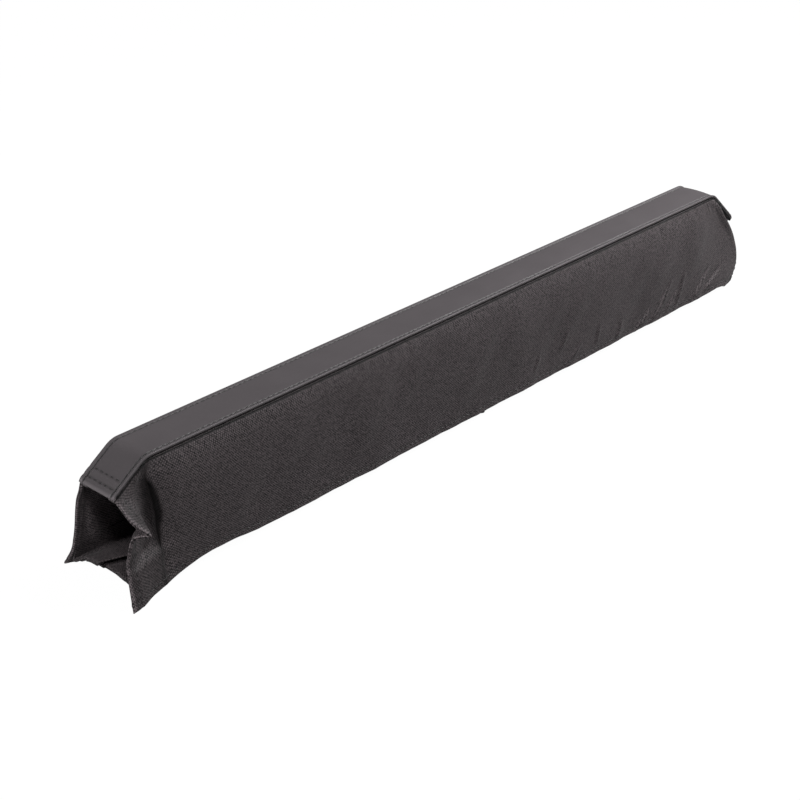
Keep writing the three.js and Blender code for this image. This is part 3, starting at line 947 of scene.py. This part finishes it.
@dataclass
class Flap(Cloth):
    """One length of a closure flap: sewn up inside the foot of its panel, folded under, then
    level to its free edge, where two rows of stitches hold its tape. Only the length at the
    open end has the layer's corner, sag and droop there."""

    net: PanelNet | None = None
    layer: FlapLayer | None = None
    at_end: bool = True
    sewn: float = 6.0
    fold: float = 3.0
    fold_cut: float = 0.9
    fold_turn: float = 3.2
    inset: float = 1.3
    hem_inset: float = 0.5
    sag_length: float = 12.0
    droop_length: float = 30.0
    seed: int = 11

    def row_knots(self) -> Array:
        """Distances across the cloth of its seven rows of points.

        Returns:
            Rising distances.
        """
        span = abs(self.layer.reach) + FOOT_HALF_WIDTH - self.fold - self.inset
        start = self.sewn + 2 * self.fold_turn
        return np.array([0, self.sewn, self.sewn + self.fold_turn, start,
                         start + span / 4, start + span / 2, start + span])

    def face(self, u: Array, v: Array) -> Array:
        """Seven rows across: two up the panel, one at the fold and four under, where the level
        eases from the fold's by the cube of the distance left to the free edge and lies a
        droop lower at the open end. A sag towards the slit, from just above the fold on, and
        shallow puckers by the fold are added in height.

        Args:
            u: places along the cloth.
            v: places across the cloth.

        Returns:
            Points, as an array (len(u), len(v), 3).
        """
        side, layer = self.layer.side.value, self.layer
        inset = self.inset + self.hem_inset * (u <= self.net.at_station(1))
        fold_top = layer.level - self.fold
        foot = self.net.inside(u, PANEL_DEPTH - layer.lift, inset)
        hang = 1 - ease(u, self.u[0], self.u[0] + self.droop_length)
        level = layer.level + self.at_end * layer.droop * hang
        under = np.maximum(level, STAND_HEIGHT - foot[:, 2])
        inner = foot[:, 1] - side * self.fold
        edge = layer.free_edge(foot[:, 0])
        rows = [
            self.net.inside(u, fold_top - self.sewn, inset),
            self.net.inside(u, fold_top, inset),
            np.stack([foot[:, 0], foot[:, 1] - side * self.fold_cut,
                      STAND_HEIGHT - under + self.fold_cut], axis=-1),
        ]
        for share in (0, 0.25, 0.5, 1):
            depth = level + (under - level) * (1 - share) ** 3
            rows.append(np.stack([foot[:, 0], inner + (edge - inner) * share,
                                  STAND_HEIGHT - depth], axis=-1))
        points = np.array(rows)
        if self.at_end:
            lead_over = self.net.at_station(layer.first + 0.4) - self.u[0]
            lead = 1 - np.clip((u - self.u[0]) / lead_over, 0, 1)
            points[..., 0] += np.array(layer.lead)[:, None] * lead
        grid = np.moveaxis(smooth(points, self.row_knots(), v), 0, 1)
        near_slit = 1 - np.clip((self.u[-1] - u) / self.sag_length, 0, 1)
        sag = self.at_end * layer.sag * near_slit**1.5
        grid[..., 2] -= sag[:, None] * ease(v, self.sewn - 3, self.sewn + 1)[None]
        pucker = 0.12 * ripple(u, (9.7, 14.3, 22.0), self.seed)[:, None]
        grid[..., 2] += pucker * bell(v - self.sewn - 8, 5)[None]
        return grid

    def thickness(self, u: Array, v: Array) -> Array:
        """One cloth, pressed thin along the edge that is sewn up inside the panel."""
        pressed = 0.25 + 0.75 * ease(v, 0, self.sewn)
        return np.repeat((self.cloth * pressed)[None], len(u), axis=0)


@dataclass
class Tape(Cloth):
    """A flat strip of hook or loop tape, sewn to its flap along both edges."""

    cloth: float = 0.8
    level: float = 61.9
    centre: float = 6.75

    def face(self, u: Array, v: Array) -> Array:
        """A level sheet: X is u and Y is centre + v."""
        x, y = np.broadcast_arrays(u[:, None], self.centre + v[None])
        return np.stack([x, y, np.full(x.shape, STAND_HEIGHT - self.level)], axis=-1)


@dataclass
class Lining(Cloth):
    """The lining round the foam's sides and underside, caught in both seams of the strip."""

    cloth: float = 0.6
    out: float = 1.5
    floor: float = 34.7
    allowance: float = 4.0
    seed: int = 21

    def outline(self) -> Array:
        """The section's corners as Y and depth, from one seam down, across and up.

        Returns:
            Rows of Y and depth.
        """
        shoulder = SEAM_DEPTH + self.out
        corner = STRIP_HALF_WIDTH - 0.9 - self.out
        half = np.array([
            [corner - self.allowance, shoulder],
            [corner, shoulder],
            [half_width(10.0) - self.out, 10.0],
            [half_width(self.floor) - self.out, self.floor],
        ])
        return np.concatenate([half * [-1, 1], half[::-1]])

    def lengths(self) -> Array:
        """Distances of the corners along the section."""
        steps = np.linalg.norm(np.diff(self.outline(), axis=0), axis=1)
        return np.concatenate([[0], np.cumsum(steps)])

    def face(self, u: Array, v: Array) -> Array:
        """The section run straight along X, with shallow waves up into the foam.

        Args:
            u: places along the cloth.
            v: places across the cloth.

        Returns:
            Points, as an array (len(u), len(v), 3).
        """
        outline, lengths = self.outline(), self.lengths()
        y = np.interp(v, lengths, outline[:, 0])[None]
        depth = np.interp(v, lengths, outline[:, 1])[None]
        wave = 0.15 * (1 + ripple(u, (31.0, 47.0, 19.0), self.seed))[:, None] * bell(y, 12)
        x, y, depth = np.broadcast_arrays(u[:, None], y, depth - wave)
        return np.stack([x, y, STAND_HEIGHT - depth], axis=-1)


@dataclass
class FoamCore:
    """The foam block: crowned under the strip, square at the near end, sloped at the far one,
    and rounded at every edge."""

    material: bpy.types.Material
    start: float = -225.5
    stop: float = 245.0
    crown: float = 1.9
    bevel_from: float = 228.0
    bevel_depth: float = 27.0
    clearance: float = 2.6
    rounding: float = 5.0

    def make(self) -> bpy.types.Object:
        """Rings over X. Each is a superellipse of power 6 between its top and the underside.
        Its width follows the panels' and is under a third of that above the shoulder, beside
        the seams. It draws in over the last few millimetres of each end as a quarter circle
        does.

        Returns:
            The linked piece.
        """
        x = graded(self.start, self.stop, 4.0)
        turn = np.linspace(0, 2 * math.pi, 72, endpoint=False)
        power = 2 / 6
        a = np.sign(np.cos(turn)) * np.abs(np.cos(turn)) ** power
        b = np.sign(np.sin(turn)) * np.abs(np.sin(turn)) ** power
        slope = np.clip((x - self.bevel_from) / (self.stop - self.bevel_from), 0, 1)
        top = self.crown + (self.bevel_depth - self.crown) * slope
        end = np.minimum(x - self.start, self.stop - x)
        drawn = np.sqrt(1 - (1 - np.clip(end / self.rounding, 0.004, 1)) ** 2)
        half = (FOAM_DEPTH - top) / 2 * (0.7 + 0.3 * drawn)
        depth = (FOAM_DEPTH + top)[:, None] / 2 + half[:, None] * b
        shoulder = ease(depth, 3, 7)
        width = (half_width(depth) - self.clearance) * (0.3 + 0.7 * shoulder)
        y = a * width * (0.8 + 0.2 * drawn)[:, None]
        rings = np.stack([np.broadcast_to(x[:, None], y.shape), y, STAND_HEIGHT - depth], -1)
        count, sides = y.shape
        points = np.concatenate([rings.reshape(-1, 3), rings[[0, -1]].mean(axis=1)])
        quads = facing_out(points, tube(count, sides))
        turned = 1 if quads[0, 0] == 0 else -1
        rim, last = np.arange(sides), (count - 1) * sides
        ahead = (rim + 1) % sides
        low = np.stack([np.full(sides, count * sides), ahead, rim], -1)
        high = np.stack([np.full(sides, count * sides + 1), last + rim, last + ahead], -1)
        caps = np.concatenate([low, high])[:, ::turned]
        faces = quads.tolist() + caps.tolist()
        piece = make_piece("foam_block", points, faces, self.material)
        return piece


# ---------------------------------------------------------------- finishes


def linear(hex_colour: str) -> tuple[float, float, float, float]:
    """Turns an sRGB hex colour to linear values and an alpha of 1."""
    # c / 12.92 up to 0.04045, and above it ((c + 0.055) / 1.055) to the power 2.4
    parts = [int(hex_colour[k:k + 2], 16) / 255 for k in (1, 3, 5)]
    return (*(c / 12.92 if c <= 0.04045 else ((c + 0.055) / 1.055) ** 2.4 for c in parts), 1.0)


def node(tree: bpy.types.NodeTree, kind: str, inputs: dict | None = None,
         **settings: object) -> bpy.types.Node:
    """Adds a node.

    Args:
        tree: the material's node tree.
        kind: the node's type, without the words ShaderNode that all of them start with.
        inputs: for each input's name or number, a value, the socket that feeds it, or a node
            whose first output does.
        settings: the node's own properties.

    Returns:
        The node.
    """
    made = tree.nodes.new(f"ShaderNode{kind}")
    for name, value in settings.items():
        setattr(made, name, value)
    for name, value in (inputs or {}).items():
        if isinstance(value, bpy.types.Node):
            value = value.outputs[0]
        if isinstance(value, bpy.types.NodeSocket):
            tree.links.new(value, made.inputs[name])
        else:
            made.inputs[name].default_value = value
    return made


def start_material(name: str) -> tuple[bpy.types.Material, bpy.types.NodeTree]:
    """An empty material and its node tree.

    Args:
        name: the material's name.

    Returns:
        The material and its tree.
    """
    material = bpy.data.materials.new(name)
    material.use_nodes = True
    material.node_tree.nodes.clear()
    return material, material.node_tree


def finish_material(tree: bpy.types.NodeTree, looks: dict) -> None:
    """Joins a shader with the given looks to the material's output."""
    node(tree, "OutputMaterial", {"Surface": node(tree, "BsdfPrincipled", looks)})


def tone_plus_painted_light_and_rub(tree: bpy.types.NodeTree, tone: bpy.types.Node, painted_light_and_rub_gain: float) -> bpy.types.Node:
    """The tone plus a gain times the cloth's tone shift: painted shade, painted highlights and
    rubbed paleness.
    """
    wear_and_painted_light = node(tree, "Attribute", attribute_name="wear_and_painted_light").outputs["Fac"]
    return node(tree, "Math", {0: wear_and_painted_light, 1: painted_light_and_rub_gain, 2: tone}, operation="MULTIPLY_ADD")


@dataclass(frozen=True)
class WovenPolyester:
    """Plain-woven polyester of heavy yarn, matte, with dark gaps between the threads. Its warp
    is a little lighter than its weft, which gives the eye fine diagonal lines. The thread
    pitch is 0.72 mm, as on the real cloth."""

    name: str = "woven_polyester"
    colour: str = "#554e50"
    gap_colour: str = "#0f0e0f"
    pitch: float = 0.72
    warp: float = 0.6
    scatter: float = 0.45
    painted_light_and_rub_gain: float = 0.55
    sheen: float = 0.06
    roughness: float = 0.62
    bump: float = 0.3

    def weave(self, tree: bpy.types.NodeTree,
              place: bpy.types.Node) -> tuple[bpy.types.Node, bpy.types.Node]:
        """The threads' angles a and b, a half turn for each thread, and the weave's height: the
        larger of |sin a| (1 + s) / 2 and |sin b| (1 - s) / 2, with s = sin a sin b, and warp
        times s on top. A slow noise keeps the threads from being quite straight.

        Args:
            tree: the material's node tree.
            place: the node that gives the place on the flat cloth.

        Returns:
            The node that gives the angles and the one that gives the height.
        """
        wander = node(tree, "TexNoise", {"Vector": place, "Scale": 160.0, "Detail": 1.0})
        offset = node(tree, "VectorMath", {
            0: wander.outputs["Color"], 1: (0.12 * MM, 0.12 * MM, 0.0), 2: place},
            operation="MULTIPLY_ADD")
        turns = math.pi / (self.pitch * MM)
        angles = node(tree, "VectorMath", {0: offset, 1: (turns, turns, 0.0)},
                      operation="MULTIPLY")
        waves = node(tree, "VectorMath", {0: angles}, operation="SINE")
        size = node(tree, "VectorMath", {0: waves}, operation="ABSOLUTE")
        wave, bulk = (node(tree, "SeparateXYZ", {0: vector}) for vector in (waves, size))
        parity = node(tree, "Math", {0: wave, 1: wave.outputs[1]}, operation="MULTIPLY")
        heights = []
        for axis, half in ((0, 0.5), (1, -0.5)):
            over = node(tree, "Math", {0: parity, 1: half, 2: 0.5}, operation="MULTIPLY_ADD")
            heights.append(node(tree, "Math", {0: bulk.outputs[axis], 1: over},
                                operation="MULTIPLY"))
        height = node(tree, "Math", {0: heights[0], 1: heights[1]}, operation="MAXIMUM")
        return angles, node(tree, "Math", {0: parity, 1: self.warp, 2: height},
                            operation="MULTIPLY_ADD")

    def make(self) -> bpy.types.Material:
        """The weave, with a random tone at each crossing, a fine speckle, a slow cloudiness and
        the painted shade, painted highlights and rubbed paleness added to it.

        Returns:
            The material.
        """
        material, tree = start_material(self.name)
        place = node(tree, "UVMap", uv_map="cloth")
        angles, height = self.weave(tree, place)
        speckle = node(tree, "TexNoise", {
            "Vector": place, "Scale": 900.0, "Detail": 2.0, "Roughness": 0.75})
        shade = node(tree, "Math", {0: speckle, 1: 2.1, 2: -1.1 - self.scatter / 2},
                     operation="MULTIPLY_ADD")
        crossing = node(tree, "VectorMath", {0: angles, 1: (math.pi,) * 3}, operation="SNAP")
        random = node(tree, "TexWhiteNoise", {"Vector": crossing})
        shade = node(tree, "Math", {0: random, 1: self.scatter, 2: shade},
                     operation="MULTIPLY_ADD")
        both = node(tree, "Math", {0: height, 1: shade}, operation="ADD", use_clamp=True)
        colour = node(tree, "Mix", {
            "Factor": both, 6: linear(self.gap_colour), 7: linear(self.colour)},
            data_type="RGBA").outputs[2]
        cloudy = node(tree, "TexNoise", {"Vector": place, "Scale": 28.0, "Detail": 3.0})
        tone = node(tree, "MapRange", {"Value": cloudy, 1: 0.3, 2: 0.7, 3: 0.92, 4: 1.06})
        # The tone takes the painted shade and painted highlights carried by the cloth.
        tinted = node(tree, "HueSaturation", {
            "Value": tone_plus_painted_light_and_rub(tree, tone, self.painted_light_and_rub_gain), "Color": colour})
        relief = node(tree, "Bump", {
            "Height": both, "Strength": self.bump, "Distance": 0.3 * MM})
        finish_material(tree, {
            "Base Color": tinted, "Roughness": self.roughness, "Normal": relief,
            "Sheen Weight": self.sheen, "Sheen Roughness": 0.4, "Specular IOR Level": 0.2})
        return material


@dataclass(frozen=True)
class CoatedCloth:
    """Polyester cloth with a thick matte polymer coating, calendered, so it is smooth with a very
    fine leathery grain; its folds are a little lighter, partly rubbed and partly a painted
    highlight, and its grooves carry painted shade."""

    name: str = "coated_cloth"
    colour: str = "#474345"
    painted_light_and_rub_gain: float = 0.6
    grain: float = 0.5
    roughness: float = 0.44

    def make(self) -> bpy.types.Material:
        """A fine noise for grain, a slow one for uneven tone and gloss, and the painted shade,
        painted highlights and rubbed paleness added to the tone.

        Returns:
            The material.
        """
        material, tree = start_material(self.name)
        place = node(tree, "UVMap", uv_map="cloth")
        slow = node(tree, "TexNoise", {
            "Vector": place, "Scale": 35.0, "Detail": 4.0, "Roughness": 0.6})
        tone = node(tree, "MapRange", {"Value": slow, 1: 0.3, 2: 0.7, 3: 0.94, 4: 1.04})
        # The tone takes the painted shade and painted highlights carried by the cloth.
        tinted = node(tree, "HueSaturation", {
            "Value": tone_plus_painted_light_and_rub(tree, tone, self.painted_light_and_rub_gain), "Color": linear(self.colour)})
        gloss = node(tree, "MapRange", {
            "Value": slow, 1: 0.3, 2: 0.7, 3: self.roughness - 0.05, 4: self.roughness + 0.08})
        grain = node(tree, "TexNoise", {
            "Vector": place, "Scale": 1 / (self.grain * MM), "Detail": 3.0})
        relief = node(tree, "Bump", {
            "Height": grain, "Strength": 0.22, "Distance": 0.12 * MM})
        finish_material(tree, {"Base Color": tinted, "Roughness": gloss, "Normal": relief,
                               "Specular IOR Level": 0.22})
        return material


@dataclass(frozen=True)
class SewingThread:
    """Bonded polyester thread, twisted, with a slight gloss on each bead."""

    name: str = "sewing_thread"
    colour: str = "#1d1b1c"
    twist: float = 0.45

    def make(self) -> bpy.types.Material:
        """Slanted bands of light and dark for the thread's plies.

        Returns:
            The material.
        """
        material, tree = start_material(self.name)
        place = node(tree, "TexCoord").outputs["Object"]
        plies = node(tree, "TexWave", {
            "Vector": place, "Scale": 0.3 / (self.twist * MM), "Distortion": 0.5},
            bands_direction="DIAGONAL")
        relief = node(tree, "Bump", {
            "Height": plies.outputs["Fac"], "Strength": 0.4, "Distance": 0.1 * MM})
        finish_material(tree, {
            "Base Color": linear(self.colour), "Roughness": 0.55, "Normal": relief})
        return material


@dataclass(frozen=True)
class FoamedPolyethylene:
    """Closed-cell foam, cut, so its face shows fine open cells about a millimetre across."""

    name: str = "closed_cell_foam"
    colour: str = "#48484a"
    cell: float = 0.9

    def make(self) -> bpy.types.Material:
        """Cells from the distance to scattered points, dark at their middles.

        Returns:
            The material.
        """
        material, tree = start_material(self.name)
        place = node(tree, "TexCoord").outputs["Object"]
        cells = node(tree, "TexVoronoi", {
            "Vector": place, "Scale": 1 / (self.cell * MM)})
        tone = node(tree, "MapRange", {"Value": cells, 3: 0.75, 4: 1.1})
        tinted = node(tree, "HueSaturation", {
            "Value": tone, "Color": linear(self.colour)})
        relief = node(tree, "Bump", {
            "Height": cells, "Strength": 0.6, "Distance": 0.3 * MM})
        finish_material(tree, {"Base Color": tinted, "Roughness": 0.9, "Normal": relief})
        return material


@dataclass(frozen=True)
class FastenerTape:
    """Woven nylon tape with hooks or loops. Hooks stand in rows of stiff points, and loops are
    a soft tangle that scatters light."""

    name: str
    colour: str
    spacing: float
    sheen: float

    def make(self) -> bpy.types.Material:
        """Scattered points, one for each hook or tuft of loops.

        Returns:
            The material.
        """
        material, tree = start_material(self.name)
        place = node(tree, "UVMap", uv_map="cloth")
        tufts = node(tree, "TexVoronoi", {
            "Vector": place, "Scale": 1 / (self.spacing * MM), "Randomness": 0.35})
        tone = node(tree, "MapRange", {"Value": tufts, 3: 1.25, 4: 0.5})
        tinted = node(tree, "HueSaturation", {
            "Value": tone, "Color": linear(self.colour)})
        relief = node(tree, "Bump", {
            "Height": tufts, "Strength": 0.9, "Distance": 0.5 * MM}, invert=True)
        finish_material(tree, {
            "Base Color": tinted, "Roughness": 0.75, "Normal": relief,
            "Sheen Weight": self.sheen, "Sheen Roughness": 0.4})
        return material


# ---------------------------------------------------------------- the whole pad


@dataclass
class Pad:
    """The pad's pieces, built from the top down and reported as they are made."""

    line: StripLine = field(default_factory=StripLine)
    woven: bpy.types.Material = field(default_factory=lambda: WovenPolyester().make())
    thread: bpy.types.Material = field(default_factory=lambda: SewingThread().make())
    slit: tuple[float, float] = (2.5, 4.5)
    made: list = field(default_factory=list)

    def keep(self, piece: bpy.types.Object, *nodes: str) -> bpy.types.Object:
        """Notes a piece and hides the plain solids that it stands for.

        Args:
            piece: the piece.
            nodes: the plain solids that it stands for, if any.

        Returns:
            The same piece.
        """
        if nodes:
            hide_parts(*nodes)
        self.made.append(piece)
        LOG.info("%s: %d faces", piece.name, len(piece.data.polygons))
        return piece

    def keep_cloth(self, cloth: Cloth, node_name: str) -> None:
        """Makes a cloth and its stitches.

        Args:
            cloth: the cloth.
            node_name: the plain solid that it stands for.
        """
        piece = self.keep(cloth.make(), node_name)
        sewn = [self.keep(cloth.sewing(Stitching(), self.thread))] if cloth.rows else []

    def build(self) -> None:
        """Builds every piece."""
        self.build_strip()
        nets = self.build_panels()
        self.build_core()
        self.build_flaps(nets)
        self.build_tapes()

    def build_strip(self) -> None:
        """The top strip, stitched along both grooves and across both hems."""
        start, stop = self.line.ends()
        across = graded(-STRIP_HALF_WIDTH, STRIP_HALF_WIDTH, 1.1)
        strip = TopStrip("coated_strip", "coated_fabric", CoatedCloth().make(), 1,
                         graded(start, stop, 1.15), refined(across, 9.3, 12.0, 0.2),
                         line=self.line)
        groove = strip.groove_at
        edges = [StitchRow(Run.ALONG, y, start + 0.8, stop - 0.8) for y in (-groove, groove)]
        hems = [StitchRow(Run.ACROSS, at, 1 - groove, groove - 1)
                for row in strip.hem_rows for at in (start + row, stop - row)]
        strip.rows = (*edges, *hems)
        self.keep_cloth(strip, "top_strip")

    def build_panels(self) -> dict[Side, PanelNet]:
        """Both side panels, each stitched above its foot and along its hems.

        Returns:
            Each side's net, which its flap follows.
        """
        nets = {}
        foot = (1 - ROW_SHARE[0]) * PANEL_DEPTH
        v = np.concatenate([[-5, -4.8, -4.4, -3.6, -2.4, -1.2, -0.5], graded(0, foot, 1.0)])
        for side, stations, creases, seed in (
            (Side.NEAR, NEAR_PANEL_NEAR_END, NEAR_CREASES, 4),
            (Side.FAR, FAR_PANEL_NEAR_END, FAR_CREASES, 31),
        ):
            net = PanelNet(side, stations, self.line)
            word, length = side.name.lower(), net.knots[-1]
            panel = SidePanel(f"{word}_woven_panel", "woven_fabric", self.woven, side.value,
                              graded(0, length, 1.1), v, end_slit=0.8, back=1.0, net=net,
                              creases=creases, seed=seed)
            hems = [StitchRow(Run.ACROSS, at, 3, foot - 4)
                    for at in (panel.hem_row, length - panel.hem_row)]
            panel.rows = (StitchRow(Run.ALONG, foot - panel.foot_row, 1.5, length - 1.5), *hems)
            self.keep_cloth(panel, f"{word}_side_panel")
            nets[side] = net
        return nets

    def build_core(self) -> None:
        """The foam and its lining."""
        foam = self.keep(FoamCore(FoamedPolyethylene().make()).make(), "foam_core")
        thin = WovenPolyester("lining_polyester", "#2c2a2b", "#0d0c0d").make()
        lining = Lining("foam_lining_cloth", "lining_fabric", thin, -1,
                        graded(-221.5, 222.5, 3.0), np.zeros(2))
        around = lining.lengths()[-1]
        lining.v = graded(0, around, 1.5)
        self.keep_cloth(lining, "foam_lining")

    def build_flaps(self, nets: dict[Side, PanelNet]) -> None:
        """The four lengths of flap, two to a side with a slit between them.

        Args:
            nets: each side's net.
        """
        flat_x = (FLAT_TO - self.line.near.corner, self.line.far.corner - FLAT_TO)
        for layer in FLAP_LAYERS:
            net = nets[layer.side]
            flat_u = [net.at_station(net.flat_start + k) for k in (1, 2)]
            slit = np.interp(self.slit, flat_x, flat_u)
            for length, start, stop in (
                ("near", net.at_station(layer.first), slit[0]),
                ("far", slit[1], net.ridge),
            ):
                name = f"{layer.word}_flap_{length}"
                flap = Flap(f"{name}_cloth", "woven_fabric", self.woven, layer.side.value,
                            graded(start, stop, 1.6), np.zeros(2), net=net, layer=layer,
                            at_end=length == "near", seed=11 + len(self.made))
                width = flap.row_knots()[-1]
                flap.v = graded(0, width, 1.1)
                flap.rows = tuple(StitchRow(Run.ALONG, width - from_edge, start + 3, stop - 3)
                                  for from_edge in (2.4, 17.6))
                self.keep_cloth(flap, f"{name}_length")

    def build_tapes(self) -> None:
        """The hook and loop tapes between the flaps."""
        width = 17.0
        kinds = (("hook", 61.9, FastenerTape("hook_tape_nylon", "#232223", 0.9, 0.0).make()),
                 ("loop", 60.8, FastenerTape("loop_tape_nylon", "#2b2a2b", 0.7, 0.5).make()))
        for length, start, stop in (("near", -214.5, -1.5), ("far", 8.5, 215.5)):
            for kind, level, nylon in kinds:
                tape = Tape(f"{kind}_strip_{length}", "closure_tape", nylon, 1,
                            graded(start, stop, 4.0), graded(-width / 2, width / 2, 1.5),
                            level=level)
                self.keep_cloth(tape, f"{kind}_tape_{length}_length")


# ---------------------------------------------------------------- studio


@dataclass(frozen=True)
class Softbox:
    """A square area light: where it stands, where it points, its size and its power."""

    name: str
    place: tuple[float, float, float]
    target: tuple[float, float, float]
    size: float
    power: float
    mirrored: bool = True

    def make(self) -> None:
        """Adds the light, which shows in reflections where it is mirrored."""
        data = bpy.data.lights.new(self.name, "AREA")
        data.shape, data.size, data.energy = "SQUARE", self.size, self.power
        lamp = bpy.data.objects.new(self.name, data)
        lamp.location = self.place
        aim = Vector(self.target) - Vector(self.place)
        lamp.rotation_euler = aim.to_track_quat("-Z", "Y").to_euler()
        lamp.visible_glossy = self.mirrored
        bpy.context.scene.collection.objects.link(lamp)


@dataclass(frozen=True)
class Studio:
    """A pale floor and a white surround, soft light mostly from above and the right, and the
    camera at the photograph's place."""

    camera_place: tuple[float, float, float] = (-0.6446, -0.56095, 0.45094)
    right: tuple[float, float, float] = (0.68423, -0.72926, 0.0)
    up: tuple[float, float, float] = (0.33852, 0.31761, 0.88574)
    forward: tuple[float, float, float] = (0.64594, 0.60605, -0.46419)
    lens: float = 75.99
    sensor: float = 36.0
    softboxes: tuple[Softbox, ...] = (
        Softbox("softbox_right", (0.62, -0.63, 1.29), (0.1, 0, 0.03), 0.35, 16.0),
        Softbox("softbox_left", (-0.78, -1.02, 1.3), (-0.2, 0, 0.03), 0.3, 10.0),
        Softbox("softbox_above", (0.52, -0.15, 0.5), (0.22, 0, 0.03), 0.3, 4.4),
        Softbox("softbox_near_end", (-1.1, 0.15, 0.62), (-0.3, 0, 0.06), 0.25, 7.0),
        Softbox("softbox_back", (0.1, 1.6, 0.55), (0, 0, 0.03), 0.5, 6.0, mirrored=False),
    )
    floor_half: float = 6.0
    floor_colour: str = "#8c8c8c"
    floor_white: float = 1.07
    floor_share: float = 0.92
    surround: float = 0.024
    surround_seen: tuple[tuple[str, float], ...] = (
        ("Is Camera Ray", 1.05), ("Is Transmission Ray", 1.05), ("Is Glossy Ray", 0.24))

    def make(self) -> None:
        """Builds the floor, the lights, the surround and the camera."""
        self.add_camera()
        self.add_floor()
        self.add_surround()
        for softbox in self.softboxes:
            softbox.make()
        bpy.context.scene.view_settings.view_transform = "Standard"

    def add_camera(self) -> None:
        """The camera, its axes written as the columns of its matrix."""
        data = bpy.data.cameras.new("camera")
        data.lens, data.sensor_width = self.lens, self.sensor
        camera = bpy.data.objects.new("camera", data)
        columns = (self.right, self.up, tuple(-c for c in self.forward), self.camera_place)
        matrix = Matrix([[column[k] for column in columns] for k in range(3)] + [(0, 0, 0, 1)])
        camera.matrix_world = matrix
        bpy.context.scene.collection.objects.link(camera)
        bpy.context.scene.camera = camera

    def add_floor(self) -> None:
        """A pale floor that keeps a faint shadow and otherwise shows white to the camera."""
        material, tree = start_material("pale_floor")
        ray = node(tree, "LightPath").outputs
        seen = node(tree, "Math", {0: ray["Is Camera Ray"], 1: ray["Is Transmission Ray"]},
                    operation="MAXIMUM")
        share = node(tree, "Math", {0: seen, 1: self.floor_share}, operation="MULTIPLY")
        matte = node(tree, "BsdfDiffuse", {"Color": linear(self.floor_colour)})
        white = node(tree, "Emission", {"Strength": self.floor_white})
        mixed = node(tree, "MixShader", {0: share, 1: matte, 2: white})
        node(tree, "OutputMaterial", {"Surface": mixed})
        half = self.floor_half
        corners = [(-half, -half, 0), (half, -half, 0), (half, half, 0), (-half, half, 0)]
        mesh = bpy.data.meshes.new("floor")
        mesh.from_pydata(corners, [], [(0, 1, 2, 3)])
        mesh.materials.append(material)
        floor = bpy.data.objects.new("floor", mesh)
        bpy.context.scene.collection.objects.link(floor)

    def add_surround(self) -> None:
        """A world that is white to the camera, soft grey in reflections, and dim as a light."""
        world = bpy.data.worlds.new("surround")
        world.use_nodes = True
        tree = world.node_tree
        tree.nodes.clear()
        ray = node(tree, "LightPath").outputs
        strength = self.surround
        for name, share in self.surround_seen:
            strength = node(tree, "Math", {0: ray[name], 1: share, 2: strength},
                            operation="MULTIPLY_ADD")
        background = node(tree, "Background", {
            "Color": (1.0, 1.0, 1.0, 1.0), "Strength": strength})
        node(tree, "OutputWorld", {"Surface": background})
        bpy.context.scene.world = world


def main() -> None:
    logging.basicConfig(level=logging.INFO, format="%(message)s")
    Studio().make()
    pad = Pad()
    pad.build()
    LOG.info("%d pieces", len(pad.made))


if __name__ == "__main__":
    main()
